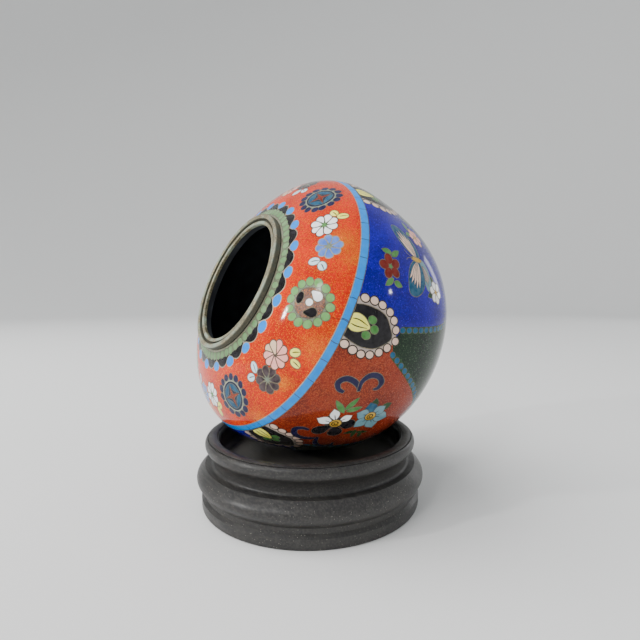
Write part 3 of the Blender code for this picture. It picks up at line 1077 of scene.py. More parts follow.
def spline(points, closed=True, steps=4):
    """A smooth curve through points."""
    points = np.asarray(points, float)
    if closed:
        points = np.concatenate([points[-1:], points, points[:2]])
    else:
        points = np.concatenate([2.0 * points[:1] - points[1:2], points, 2.0 * points[-1:] - points[-2:-1]])
    curve = []
    for before, start, end, after in zip(points, points[1:], points[2:], points[3:]):
        for share in np.arange(steps) / steps:
            bend = 2.0 * before - 5.0 * start + 4.0 * end - after
            twist = 3.0 * (start - end) + after - before
            curve.append(start + 0.5 * share * ((end - before) + share * (bend + share * twist)))
    if not closed:
        curve.append(points[-2])
    return np.array(curve)


def ribbon(points, width, ends=(0.35, 0.35)):
    """A band along a smooth curve, thinner at its two ends."""
    line = spline(points, closed=False)
    along = np.gradient(line, axis=0)
    across = np.stack([-along[:, 1], along[:, 0]], axis=1)
    across /= np.linalg.norm(across, axis=1)[:, None] + 1e-9
    share = np.linspace(0.0, 1.0, len(line))
    half = width / 2.0 * np.interp(share, [0.0, 0.3, 0.7, 1.0], [ends[0], 1.0, 1.0, ends[1]])[:, None]
    return np.concatenate([line - across * half, (line + across * half)[::-1]])


def between(base, tip, shape, width, centre):
    """A petal or leaf from one place on the jar to another, as a flat shape about the centre."""
    start, end = flat([base, tip], *centre)
    length = math.hypot(*(end - start))
    turned = math.degrees(math.atan2(end[1] - start[1], end[0] - start[0])) - 90.0
    return placed(shape(length, width), *start, turned)


def wobbled(width, height, least, most, low=None, high=None):
    """An oval bead whose width and height vary a little, each within its own limits."""
    return oval(width * hand.uniform(least, most), height * hand.uniform(low or least, high or most))


print("a ribbon along three points has", len(ribbon([(0, 0), (1, 1), (2, 0)], 0.1)), "corners")

# %% [markdown]
# The grounds come first. The upper third of the jar is orange goldstone, a turquoise band closes it, and
# the lower part is dark green. The edge at the mouth is a ring of cream wire.

# %% Lay the grounds and the turquoise band
BAND_TOP = 0.632
BAND_BOTTOM = 0.682
COLLAR_WIRE = 0.117
COLLAR_BOTTOM = 0.171
BAND_MIDDLE = 0.657
BAND_EDGE = 0.003
TILES = 46
TILE_START = -97.7
JOINT_WIDTH = 0.0042
ring_zone(SKIN_START, COLLAR_WIRE, "cream_wire", "collar_beads")
ring_zone(COLLAR_WIRE, COLLAR_BOTTOM, "grimy_green", "collar_beads")
ring_zone(COLLAR_BOTTOM, BAND_TOP, "red_ground", "shoulder_ground")
ring_zone(BAND_TOP, BAND_BOTTOM, "band_blue", "blue_band")
ring_zone(BAND_BOTTOM, SKIN_END, "green_ground", "green_ground")
print("grounds laid:", len(cells))


def lay_band():
    """Lays the band's two edge wires and the joints between its tiles."""
    ring_zone(BAND_TOP - BAND_EDGE, BAND_TOP + BAND_EDGE, "cream_wire", "blue_band")
    ring_zone(BAND_BOTTOM - BAND_EDGE, BAND_BOTTOM + 0.002, "wire", "blue_band")
    for number in range(TILES):
        turn = TILE_START + 360.0 / TILES * number + hand.uniform(-0.4, 0.4)
        bow = hand.uniform(-0.004, 0.004)
        joint = [(0.0, 0.024), (bow, 0.008), (bow, -0.008), (hand.uniform(-0.003, 0.003), -0.024)]
        lay(around(ribbon(joint, JOINT_WIDTH, (1.0, 1.0)), turn, BAND_MIDDLE), "dark_wire", "blue_band")


# %% [markdown]
# Round the mouth runs a collar: a ring of green beads, and outside it black scallops with a sky-blue dot
# in every hollow between two of them. The dots are laid over the scallops' ends, and a strip of the
# beads' ground then covers the inner edge of both.

# %% Lay the collar
BEADS = 63
SCALLOPS = 21
BEAD_START = -98.7
SCALLOP_START = -101.2
BEAD_LINE = 0.1445
LOBE_LINE = 0.168
DOT_LINE = 0.210
SKY_DOT = [(0.0, 0.029), (-0.019, 0.022), (-0.034, 0.008), (-0.038, -0.007), (-0.028, -0.025),
           (0.0, -0.033), (0.028, -0.025), (0.038, -0.007), (0.034, 0.008), (0.019, 0.022)]
LOBE = [(-0.082, 0.003), (-0.062, -0.018), (-0.040, -0.041), (-0.018, -0.053), (0.0, -0.056),
        (0.020, -0.053), (0.042, -0.041), (0.063, -0.018), (0.082, 0.003), (0.040, 0.004), (-0.040, 0.004)]

for number in range(SCALLOPS):
    turn = SCALLOP_START + 360.0 / SCALLOPS * (number + 0.5)
    lobe = spline(np.array(LOBE) * hand.uniform(0.96, 1.03), steps=3)
    motif([(lobe, "black")], "collar_scallops", turn, LOBE_LINE, FIRM_WIRE, "cream_wire")
for number in range(SCALLOPS):
    turn = SCALLOP_START + 360.0 / SCALLOPS * number + hand.uniform(-0.3, 0.3)
    dot = spline(np.array(SKY_DOT) * hand.uniform(0.95, 1.04), steps=3)
    motif([(dot, "sky_blue")], "collar_scallops", turn, DOT_LINE, FINE_WIRE, "cream_wire")
ring_zone(COLLAR_WIRE, COLLAR_BOTTOM - 0.004, "grimy_green", "collar_beads")
for number in range(BEADS):
    bead = wobbled(0.043, 0.051, 0.94, 1.05, 0.95, 1.04)
    turn = BEAD_START + 360.0 / BEADS * number + hand.uniform(-0.3, 0.3)
    down = BEAD_LINE + hand.uniform(-0.001, 0.001)
    motif([(bead, "bead_green")], "collar_beads", turn, down, FEATHER_WIRE)
print("collar:", BEADS, "beads and", SCALLOPS, "scallops")

# %% [markdown]
# Six round medallions sit on the shoulder. Three have green beads around a brown disc, three have navy
# beads around a four-pointed star. Each is drawn flat about its own middle and then laid on the jar.

# %% Lay the medallions
STAR_REACH = 0.070
STAR_WAIST = 0.020
MEDALLION_BEADS = 14
GREEN_PLACE = (-96.7, 0.430)
NAVY_PLACE = (-157.7, 0.425)


def bead_ring(finish, ring_radius, width, height):
    """Beads in a circle, as motif parts."""
    parts = []
    for number in range(MEDALLION_BEADS):
        turned = 360.0 / MEDALLION_BEADS * (number + 0.3) + hand.uniform(-1.5, 1.5)
        bead = placed(wobbled(width, height, 0.93, 1.06), 0.0, ring_radius)
        parts.append((turned_about(bead, turned), finish))
    return parts


def green_medallion(number, turn, down):
    """A ring of green beads around a brown disc with black and white drops."""
    piece = f"green_medallion_{number}"
    motif([(oval(0.232, 0.232, 36), "flux_grey")], piece, turn, down)
    motif(bead_ring("medallion_green", 0.1245, 0.049, 0.050), piece, turn, down, FINE_WIRE)
    motif([(oval(0.176, 0.182, 30), "brown_ground")], piece, turn, down)
    drops = [(placed(oval(0.070, 0.044), 0.010, 0.069), "black"),
             (placed(placed(petal(0.082, 0.056), 0.0, -0.041), -0.050, -0.026, 197.0), "black"),
             (placed(placed(petal(0.078, 0.056), 0.0, -0.039), 0.054, -0.024, 158.0), "white"),
             (placed(oval(0.042, 0.044), 0.003, 0.002), "white")]
    motif(drops, piece, turn, down, SLIM_WIRE)


def navy_medallion(number, turn, down):
    """A ring of navy beads around a star with teal leaves between its arms."""
    piece = f"navy_medallion_{number}"
    motif([(oval(0.236, 0.236, 36), "flux_grey")], piece, turn, down, THREAD_WIRE)
    motif(bead_ring("navy", 0.124, 0.047, 0.044), piece, turn, down, THIN_WIRE)
    motif([(oval(0.190, 0.190, 32), "dark_navy")], piece, turn, down, STOUT_WIRE, "cream_wire")
    leaves = []
    for quarter in range(4):
        lens = placed(placed(leaf(0.112, 0.036), -0.056, 0.0, -90.0), 0.0, 0.060)
        leaves.append((turned_about(lens, 45.0 + 90.0 * quarter), "teal"))
    motif(leaves, piece, turn, down, THREAD_WIRE)
    red_star = []
    for quarter in range(4):
        for reach, ahead in ((STAR_REACH, 0.0), (STAR_WAIST, 0.5), (STAR_WAIST, 1.07)):
            angle = math.radians(90.0 * quarter) + ahead
            red_star.append((reach * math.cos(angle), reach * math.sin(angle)))
    motif([(np.array(red_star) * 1.02, "low_red_ground")], piece, turn, down, THIN_WIRE)


for number, shift in REPEATS:
    green_medallion(number, GREEN_PLACE[0] + shift, GREEN_PLACE[1])
    navy_medallion(number, NAVY_PLACE[0] + shift, NAVY_PLACE[1])
print("medallions laid, cells so far:", len(cells))

# %% [markdown]
# Between the medallions lie small sprays: two flowers with eight or nine petals each and a pair of leaves
# at either end. A petal is a drop shape around the flower's middle, and a leaf has a vein of wire.

# %% Lay the sprays
VEIN_WIDTH = 0.006


def flower(piece, turn, down, size, finish, petals=8, turned=0.0, second=None, middle=None,
           metal="wire"):
    """A flower of drop-shaped petals; some of them may have a second colour."""
    middle_line = math.sin(math.pi / petals)
    width = 2.0 * size * middle_line / (1.0 + middle_line)
    for number in range(petals):
        tone = second if second and number in (0, petals - 1) else finish
        drop = petal(size * hand.uniform(0.96, 1.04), width * hand.uniform(0.97, 1.05))
        drop = turned_about(drop, turned + 360.0 / petals * number)
        motif([(drop, tone)], piece, turn, down, PETAL_WIRE, metal)
    if middle:
        heart = star(petals, 0.42 * size, 0.010, turned + 180.0 / petals)
        motif([(heart, middle)], piece, turn, down, HAIR_WIRE)


def veined_leaf(piece, turn, down, width, height, turned, finish):
    """A small round leaf with a vein of wire."""
    vein = [(0.0, -height * 0.48), (0.002, 0.0), (0.0, height * 0.28)]
    motif([(turned_about(oval(width, height), turned), finish)], piece, turn, down)
    lay(around(turned_about(ribbon(vein, VEIN_WIDTH), turned), turn, down), "black_wire", piece)


for number, shift in REPEATS:
    piece = f"blue_white_spray_{number}"
    veined_leaf(piece, -78.4 + shift, 0.374, 0.050, 0.070, 12.0, "pale_blue")
    veined_leaf(piece, -80.4 + shift, 0.431, 0.052, 0.060, -52.0, "pale_blue")
    flower(piece, -70.9 + shift, 0.448, 0.080, "flower_blue", 8, 10.0, None, "flux_grey", "cream_wire")
    flower(piece, -58.9 + shift, 0.410, 0.086, "white", 8, 22.5, None, "leaf_green", "dark_wire")
    veined_leaf(piece, -52.9 + shift, 0.477, 0.048, 0.058, -60.0, "yellow")
    veined_leaf(piece, -55.3 + shift, 0.527, 0.048, 0.072, 3.0, "yellow")
    piece = f"dark_pink_spray_{number}"
    veined_leaf(piece, -135.8 + shift, 0.353, 0.048, 0.072, -14.0, "pale_blue")
    veined_leaf(piece, -140.3 + shift, 0.388, 0.050, 0.060, 70.0, "pale_blue")
    flower(piece, -133.4 + shift, 0.468, 0.084, "aubergine", turned=12.0, middle="flux_grey")
    flower(piece, -122.8 + shift, 0.405, 0.086, "pink", 9, 6.0, "apricot", metal="dark_wire")
    veined_leaf(piece, -116.4 + shift, 0.496, 0.050, 0.064, 40.0, "yellow")
    veined_leaf(piece, -119.8 + shift, 0.533, 0.044, 0.066, -4.0, "yellow")
print("sprays laid, cells so far:", len(cells))

# %% [markdown]
# Below the band six large panels alternate, three red and three cobalt. Each hangs like a shield: it is
# wide at the band and comes to a point low on the belly. A row of turquoise dots follows its edge. The
# edge is a parabola drawn down from the line where the panels part.

# %% Lay the panels and their dotted edges
PANEL_WIDTH = 0.446
PART_LINE = 1.04
PANEL_DEPTH = 0.60
DOT_PITCH = 0.0555
STRIP_WIDTH = 0.044
RED_MIDDLE = -126.8
COBALT_MIDDLE = -66.8


def panel_edge():
    """The right-hand edge of a panel below the part line, as (degrees from the middle, down)."""
    share = np.sin(np.linspace(0.0, math.pi / 2.0, 60))
    down = PART_LINE + PANEL_DEPTH * share
    width = PANEL_WIDTH * np.sqrt(np.maximum(1.0 - share, 0.0))
    return np.stack([np.degrees(width / radius_at(down)), down], axis=1)


edge = panel_edge()
edge_run = np.hypot(np.diff(np.radians(edge[:, 0]) * radius_at(edge[:, 1]).mean()), np.diff(edge[:, 1]))
edge_run = np.concatenate([[0.0], np.cumsum(edge_run)])


def lay_panel(middle, finish, piece):
    """Lays one panel's ground."""
    upper = [(30.0, BAND_BOTTOM), (30.0, 0.80), (30.0, 0.90), (30.0, 0.98), (28.3, 1.015)]
    right = np.concatenate([upper, edge[::2]])
    left = right[::-1] * np.array([-1.0, 1.0])
    outline = np.concatenate([left[1:], right])
    lay(outline + np.array([middle, 0.0]), finish, piece)


def lay_edge_dots(middle, piece):
    """Lays the strip and the turquoise dots along both edges of a panel."""
    count = int(edge_run[-1] // DOT_PITCH)
    for way in (-1.0, 1.0):
        rail = flat(edge[:-1:3] * np.array([way, 1.0]), 0.0, PART_LINE)
        lay(around(ribbon(rail, STRIP_WIDTH, (1.0, 1.0)), middle, PART_LINE), "dark_leaf", piece)
    for way in (-1.0, 1.0):
        for number in range(count + 1):
            run = DOT_PITCH * (number + 0.1)
            turn = np.interp(run, edge_run, edge[:, 0]) * way
            down = np.interp(run, edge_run, edge[:, 1])
            ahead = np.interp(run + 0.01, edge_run, edge[:, 0]) * way
            lower = np.interp(run + 0.01, edge_run, edge[:, 1])
            lean = math.degrees(math.atan2(math.radians(ahead - turn) * radius_at(down), lower - down))
            dot = turned_about(oval(0.034, 0.043 * hand.uniform(0.95, 1.05), 14), lean)
            motif([(dot, "turquoise")], piece, middle + turn, down, THIN_WIRE, "dark_wire")


for number, shift in REPEATS:
    lay_panel(RED_MIDDLE + shift, "low_red_ground", f"red_panel_{number}")
    lay_panel(COBALT_MIDDLE + shift, "cobalt_ground", f"cobalt_panel_{number}")
for number, shift in REPEATS:
    lay_edge_dots(RED_MIDDLE + shift, f"red_panel_edge_{number}")
    lay_edge_dots(COBALT_MIDDLE + shift, f"cobalt_panel_edge_{number}")
print("panels laid, cells so far:", len(cells))

# %% [markdown]
# Where two panels meet, a lappet hangs from the band: a black leaf with a yellow bud and three green
# berries, set in a strip of pale rose and edged with thirteen rose beads.

# %% Lay the lappets
LAPPET_BEADS = [(-8.0, 0.710), (-8.6, 0.770), (-8.7, 0.830), (-7.7, 0.887), (-5.7, 0.940), (-3.2, 0.982),
                (0.0, 1.020), (3.5, 0.993), (6.1, 0.955), (8.0, 0.907), (9.0, 0.840), (9.2, 0.780),
                (8.8, 0.720)]
LAPPET_LEAF = [(-5.6, 0.686), (-6.2, 0.740), (-6.4, 0.800), (-5.9, 0.855), (-4.9, 0.900), (-2.7, 0.945),
               (0.4, 0.982), (3.2, 0.945), (5.6, 0.900), (6.6, 0.855), (6.8, 0.800), (6.6, 0.740),
               (5.8, 0.686)]
BUD = [(-2.3, 0.686), (-2.9, 0.710), (-2.6, 0.745), (-1.5, 0.775), (0.1, 0.812), (1.8, 0.782),
       (2.9, 0.750), (3.2, 0.712), (2.6, 0.686)]
LAPPET_VEINS = [[(-0.9, 0.690), (-1.0, 0.730), (-0.3, 0.795)], [(0.9, 0.690), (1.3, 0.730), (0.6, 0.795)]]
BERRIES = [((-2.4, 0.806), 0.046, 0.058), ((3.0, 0.808), 0.046, 0.056), ((0.4, 0.843), 0.048, 0.056)]
LAPPETS = 6
LAPPET_START = -96.8
LAPPET_MIDDLE = 0.84


def lay_lappet(number):
    """Lays one hanging lappet."""
    piece = f"lappet_{number}"
    turn = LAPPET_START + 60.0 * number
    strip = [(-7.6, BAND_BOTTOM)] + LAPPET_BEADS + [(8.4, BAND_BOTTOM)]
    motif([(flat(strip, 0.0, LAPPET_MIDDLE), "rose_grey")], piece, turn, LAPPET_MIDDLE)
    for place_turn, down in LAPPET_BEADS:
        bead = wobbled(0.043, 0.051, 0.95, 1.05, 0.96, 1.03)
        motif([(bead, "rose")], piece, turn + place_turn, down, BEAD_WIRE, "black_wire")
    black = spline(flat(LAPPET_LEAF, 0.0, LAPPET_MIDDLE), False, 3)
    motif([(black, "black")], piece, turn, LAPPET_MIDDLE)
    bud = spline(flat(BUD, 0.0, LAPPET_MIDDLE), False, 3)
    motif([(bud, "yellow")], piece, turn, LAPPET_MIDDLE, THIN_WIRE)
    for vein in LAPPET_VEINS:
        line = ribbon(flat(vein, 0.0, LAPPET_MIDDLE), STOUT_WIRE)
        lay(around(line, turn, LAPPET_MIDDLE), "black_wire", piece)
    berries = []
    for berry_place, width, height in BERRIES:
        berry = placed(oval(width, height, 14), *flat([berry_place], 0.0, LAPPET_MIDDLE)[0])
        berries.append((berry, "leaf_green"))
    motif(berries, piece, turn, LAPPET_MIDDLE, THIN_WIRE)


for number in range(LAPPETS):
    lay_lappet(number)
print("lappets laid, cells so far:", len(cells))

# %% [markdown]
# The band's wires and joints go over the lappets' upper ends. One thing is no pattern at all: an old
# hairline crack that runs from the shoulder across the band. It is laid as a thin dark cell of its own.

# %% Lay the band's joints and the crack
CRACK = [(-98.2, 0.578), (-98.5, 0.60), (-98.0, 0.625), (-97.6, 0.65), (-97.9, 0.682)]
CRACK_PLACE = (-98.2, 0.63)
CRACK_WIDTH = 0.0032

lay_band()
crack_line = ribbon(flat(CRACK, *CRACK_PLACE), CRACK_WIDTH, (0.6, 1.0))
lay(around(crack_line, *CRACK_PLACE), "crack", "shoulder_ground")
print("band and crack laid, cells so far:", len(cells))

# %% [markdown]
# Each red panel holds two open flowers with spiral hearts, a few leaves and a pair of scrolls like rams'
# horns on either side. Petals and leaves are given by the two places that they run between.

# %% Measure the flowers of the red panels
RED_FLOWER = (-133.2, 1.000)
BLUE_FLOWER = (-125.5, 1.185)
WHITE_PETALS = [((-133.3, 0.968), (-133.6, 0.860), 0.070), ((-131.4, 0.972), (-127.2, 0.904), 0.062),
                ((-131.4, 1.012), (-127.3, 1.052), 0.060)]
DARK_PETALS = [((-134.6, 0.990), (-141.6, 0.936), 0.092), ((-134.6, 1.015), (-139.8, 1.090), 0.092),
               ((-133.0, 1.020), (-131.0, 1.128), 0.090), ((-132.6, 0.985), (-130.2, 0.915), 0.060)]
GREEN_LEAVES = [((-127.4, 0.984), (-123.6, 0.868), 0.036), ((-126.2, 0.972), (-119.4, 0.998), 0.034),
                ((-126.4, 0.990), (-122.6, 1.066), 0.034)]
PALE_PETALS = [((-125.4, 1.165), (-125.7, 1.070), 0.086), ((-126.2, 1.182), (-132.6, 1.146), 0.088),
               ((-126.2, 1.200), (-131.2, 1.294), 0.090), ((-125.1, 1.205), (-124.4, 1.330), 0.092),
               ((-124.4, 1.192), (-119.4, 1.236), 0.084)]
TEAL_PETALS = [((-124.4, 1.178), (-119.9, 1.100), 0.086)]
LOW_LEAVES = [((-134.6, 1.190), (-137.4, 1.130), 0.030), ((-135.0, 1.205), (-134.2, 1.300), 0.028),
              ((-121.4, 1.215), (-117.6, 1.268), 0.056), ((-121.6, 1.150), (-117.6, 1.120), 0.050),
              ((-133.6, 1.180), (-139.0, 1.225), 0.028), ((-134.6, 1.240), (-138.4, 1.285), 0.026)]
SCROLL_WIDTH = 0.034
SCROLLS = [[(-140.7, 0.892), (-141.0, 0.846), (-143.2, 0.820), (-146.3, 0.862), (-147.0, 0.930),
            (-145.4, 0.990), (-143.6, 1.006)],
           [(-143.8, 1.008), (-147.4, 1.040), (-149.8, 1.090), (-149.7, 1.140), (-147.6, 1.178),
            (-145.2, 1.160)],
           [(-119.7, 0.872), (-119.3, 0.828), (-117.2, 0.802), (-114.9, 0.832), (-114.7, 0.890),
            (-116.0, 0.940), (-117.6, 0.956)],
           [(-117.4, 0.958), (-113.6, 0.940), (-110.6, 0.972), (-109.9, 1.030), (-111.4, 1.074),
            (-113.8, 1.072), (-114.8, 1.048)]]


print("petals and leaves of a red panel:", sum(map(len, (WHITE_PETALS, DARK_PETALS, GREEN_LEAVES,
                                                        PALE_PETALS, TEAL_PETALS, LOW_LEAVES))))

# %% [markdown]
# The order of laying makes the depth: scrolls first, then the leaves and petals of the farther flower, the
# dark disc, the petals of the nearer flower, a vein on each pale petal, and last the two spiral hearts.

# %% Lay the flowers of the red panels
HEART_LINE = 0.0085
VEIN_SHARE = 0.45


def spiral(radius):
    """A spiral line around the origin, as points."""
    angles = np.linspace(0.4, 3.6 * math.pi, 22)
    reach = radius * (0.12 + 0.70 * angles / angles[-1])
    return np.stack([reach * np.cos(angles), reach * np.sin(angles) * 1.08], axis=1)


def laid_between(rows, shape, finish, centre):
    """Motif parts for petals or leaves that run between two places."""
    return [(between(base, tip, shape, width, centre), finish) for base, tip, width in rows]


def lay_spiral_heart(piece, turn, down, size):
    """A yellow heart with a spiral of wire."""
    motif([(oval(size, size * 1.08, 20), "ochre")], piece, turn, down, STOUT_WIRE, "dark_wire")
    lay(around(ribbon(spiral(size / 2.0)[::2], HEART_LINE, (0.8, 0.8)), turn, down), "black_wire", piece)


for number, shift in REPEATS:
    piece = f"red_panel_flowers_{number}"
    red_place = (RED_FLOWER[0] + shift, RED_FLOWER[1])
    blue_place = (BLUE_FLOWER[0] + shift, BLUE_FLOWER[1])
    for line in SCROLLS:
        scroll = ribbon(flat(line, *RED_FLOWER), SCROLL_WIDTH, (0.5, 0.25))
        motif([(scroll, "navy")], piece, *red_place, FINE_WIRE)
    parts = laid_between(LOW_LEAVES, leaf, "dark_leaf", BLUE_FLOWER)
    parts += laid_between(TEAL_PETALS, lotus, "teal", BLUE_FLOWER)
    for part in parts + laid_between(PALE_PETALS, lotus, "smoke_blue", BLUE_FLOWER):
        motif([part], piece, *blue_place, FINE_WIRE, "dark_wire")
    motif([(oval(0.120, 0.130, 20), "aubergine")], piece, *red_place, THIN_WIRE, "dark_wire")
    parts = laid_between(GREEN_LEAVES, leaf, "leaf_green", RED_FLOWER)
    parts += laid_between(DARK_PETALS, petal, "black", RED_FLOWER)
    for part in parts + laid_between(WHITE_PETALS, lotus, "white", RED_FLOWER):
        motif([part], piece, *red_place, SLIM_WIRE)
    for base, tip, _ in WHITE_PETALS + PALE_PETALS:
        vein_end = [VEIN_SHARE * far + (1.0 - VEIN_SHARE) * near for near, far in zip(base, tip)]
        vein = ribbon(flat([base, vein_end], *RED_FLOWER), VEIN_WIDTH, (1.0, 0.3))
        lay(around(vein, *red_place), "black_wire", piece)
    lay_spiral_heart(piece, *red_place, 0.070)
    lay_spiral_heart(piece, *blue_place, 0.068)
print("red panels filled, cells so far:", len(cells))

# %% [markdown]
# Each cobalt panel holds a plum blossom, a butterfly, and a white and a pink flower below. The blossom is
# the simplest: five round petals in a ring, four leaves behind it and a small green heart.

# %% Draw the plum blossom
PLUM = (-73.5, 0.840)
PLUM_LEAVES = [((-77.3, 0.874), (-81.0, 0.826), 0.034), ((-78.3, 0.884), (-78.4, 0.952), 0.036),
               ((-68.2, 0.842), (-68.4, 0.764), 0.036), ((-69.4, 0.842), (-65.6, 0.898), 0.034)]


def lay_plum_blossom(piece, turn, down):
    """Lays a blossom of five round petals with its leaves behind."""
    motif(laid_between(PLUM_LEAVES, leaf, "leaf_green", PLUM), piece, turn, down, FINE_WIRE)
    petals = []
    for arm in range(5):
        drop = placed(oval(0.056, 0.066, 14), 0.0, 0.048)
        petals.append((turned_about(drop, 8.0 + 72.0 * arm), "brick_red"))
    motif(petals, piece, turn, down)
    motif([(oval(0.022, 0.022, 10), "leaf_green")], piece, turn, down, THREAD_WIRE)


print("plum blossom:", len(PLUM_LEAVES), "leaves")

# %% [markdown]
# The butterfly's wings are teal, with long cream feathers that fan out from the body. The fan points at
# the four corners of the wing that lie farthest from its root. The tail wing is laid first, so that the
# two wings cover its upper end.

# %% Draw the butterfly
BODY = (-63.8, 1.075)
LEFT_WING = [(-64.6, 1.075), (-66.2, 1.030), (-70.2, 1.000), (-75.0, 1.004), (-78.8, 1.030),
             (-78.6, 1.090), (-75.6, 1.140), (-71.4, 1.160), (-67.4, 1.140), (-65.0, 1.110)]
RIGHT_WING = [(-63.0, 1.050), (-62.4, 0.990), (-60.8, 0.930), (-58.0, 0.880), (-54.8, 0.856),
              (-53.2, 0.900), (-53.8, 0.970), (-56.0, 1.040), (-58.8, 1.085), (-61.8, 1.100)]
TAIL_WING = [(-64.6, 1.100), (-67.0, 1.130), (-71.0, 1.162), (-73.4, 1.205), (-71.0, 1.235), (-66.6, 1.215),
             (-63.4, 1.170), (-62.4, 1.120)]
WING_FEATHERS = [(-0.34, 0.52, 0.62), (-0.20, 0.60, 0.72), (-0.06, 0.66, 0.80), (0.08, 0.66, 0.78),
                 (0.22, 0.58, 0.70)]
FEATHER_WIDTH = 0.026
FEELERS = [[(-64.3, 1.035), (-65.4, 0.990), (-67.0, 0.970)],
           [(-64.2, 1.032), (-63.9, 0.980), (-63.0, 0.950)]]
BODY_LINE = [(-64.6, 1.020), (-63.9, 1.070), (-62.8, 1.120)]


def lay_feathers(wing, root, finish, piece, turn, down):
    """Lays long thin feathers that fan out from the wing's root towards its far edge."""
    corners = flat(wing, *BODY)
    start = flat([root], *BODY)[0]
    reach = np.hypot(*(corners - start).T)
    far = corners[np.argsort(reach)[-4:]].mean(axis=0) - start
    length = math.hypot(*far)
    turned = math.degrees(math.atan2(far[1], far[0])) - 90.0
    for lean, inner, outer in WING_FEATHERS:
        feather = placed(leaf(length * hand.uniform(inner, outer) * 1.15, FEATHER_WIDTH), 0.0, 0.02)
        feather = placed(feather, *start, turned + math.degrees(lean))
        motif([(feather, finish)], piece, turn, down, FEATHER_WIRE, "black_wire")


def lay_butterfly(piece, turn, down):
    """Lays a butterfly seen from above: the tail wing first, then the two wings, body and feelers."""
    motif([(spline(flat(TAIL_WING, *BODY), steps=3), "smoke_blue")], piece, turn, down)
    lay_feathers(TAIL_WING, (-64.0, 1.120), "rose_grey", piece, turn, down)
    for wing in (LEFT_WING, RIGHT_WING):
        motif([(spline(flat(wing, *BODY), steps=3), "teal")], piece, turn, down)
        lay_feathers(wing, (-63.8, 1.080), "rose", piece, turn, down)
    body = ribbon(flat(BODY_LINE, *BODY), 0.030, (0.5, 0.4))
    motif([(body, "ochre")], piece, turn, down)
    for feeler in FEELERS:
        line = ribbon(flat(feeler, *BODY), VEIN_WIDTH, (1.0, 0.8))
        lay(around(line, turn, down), "wire", piece)


print("feathers in a wing:", len(WING_FEATHERS))

# %% [markdown]
# The low flowers are of the same kind as those on the shoulder, with six petals, and each has two leaves
# behind it. With them the panels are complete, and all the cells of the jar are laid.

# %% Fill the cobalt panels
WHITE_FLOWER = (-71.2, 1.300)
PINK_FLOWER = (-51.0, 1.110)
LOW_COBALT_LEAVES = [((-73.0, 1.262), (-75.6, 1.205), 0.034), ((-68.6, 1.270), (-66.6, 1.215), 0.034)]
HIGH_COBALT_LEAVES = [((-49.8, 1.052), (-46.2, 1.000), 0.036), ((-51.4, 1.050), (-53.6, 1.005), 0.034)]


def lay_low_flower(piece, place, shift, leaves, green, finish, size, turned):
    """Lays a flower of six petals with an ochre heart over its leaves."""
    turn = place[0] + shift
    motif(laid_between(leaves, leaf, green, place), piece, turn, place[1], FINE_WIRE)
    flower(piece, turn, place[1], size, finish, 6, turned, None, "ochre")


for number, shift in REPEATS:
    lay_plum_blossom(f"plum_blossom_{number}", PLUM[0] + shift, PLUM[1])
    lay_butterfly(f"butterfly_{number}", BODY[0] + shift, BODY[1])
    piece = f"low_flowers_{number}"
    lay_low_flower(piece, WHITE_FLOWER, shift, LOW_COBALT_LEAVES, "dark_leaf", "white", 0.075, 10.0)
    lay_low_flower(piece, PINK_FLOWER, shift, HIGH_COBALT_LEAVES, "leaf_green", "pink", 0.070, 20.0)
print("cobalt panels filled, cells in all:", len(cells))

# %% [markdown]
# All cells are laid, and the net can be cut. Blender's triangulation takes the outlines as faces and gives
# back, for every small triangle, the list of outlines that cover it. An even grid of extra corners keeps
# the triangles small enough to follow the jar's roundness. The net is cut open along one line on the
# underside of the jar, and its two edges are joined again corner by corner.

# %% Cut the flat net
GRID_TURN = 3.0
GRID_DOWN = 0.05
MERGE_DISTANCE = 1e-6
ON_SEAM = 1e-5
SAME_PLACE = 1e-4


def cut_skin():
    """Cuts the flat net along every outline; gives its corners, triangles and the cell of each triangle."""
    points = []
    faces = []
    owners = []
    for number, (outline, finish, piece) in enumerate(cells):
        for shift in (-360.0, 0.0, 360.0):
            turns = outline[:, 0] + shift
            if turns.max() <= SEAM + MERGE_DISTANCE or turns.min() >= SEAM + 360.0 - MERGE_DISTANCE:
                continue
            corners = np.stack([np.radians(turns), -outline[:, 1]], axis=1)
            following = np.roll(corners, -1, axis=0)
            if np.sum(corners[:, 0] * following[:, 1] - corners[:, 1] * following[:, 0]) < 0.0:
                corners = corners[::-1]
            faces.append(list(range(len(points), len(points) + len(corners))))
            owners.append(number)
            points.extend(corners.tolist())
    rows = np.linspace(SKIN_START, SKIN_END, round((SKIN_END - SKIN_START) / GRID_DOWN) + 1)
    turns = np.linspace(SEAM, SEAM + 360.0, round(360.0 / GRID_TURN) + 1)
    seams = []
    for turn in turns:
        first = len(points)
        points.extend((math.radians(turn), -down) for down in rows)
        if turn in (turns[0], turns[-1]):
            seams.extend((i, i + 1) for i in range(first, len(points) - 1))
    cut = delaunay_2d_cdt([Vector(point) for point in points], seams, faces, 0, MERGE_DISTANCE, True)
    corners = np.array([tuple(point) for point in cut[0]])
    triangles = np.array(cut[2])
    owner = np.array([max((owners[face] for face in covers), default=-1) for covers in cut[5]])
    middle = corners[triangles].mean(axis=1)
    left, right = math.radians(SEAM), math.radians(SEAM + 360.0)
    kept = (owner >= 0) & (middle[:, 0] > left) & (middle[:, 0] < right)
    kept &= (middle[:, 1] < -SKIN_START) & (middle[:, 1] > -SKIN_END)
    return close_seam(corners, triangles[kept], left, right), owner[kept]


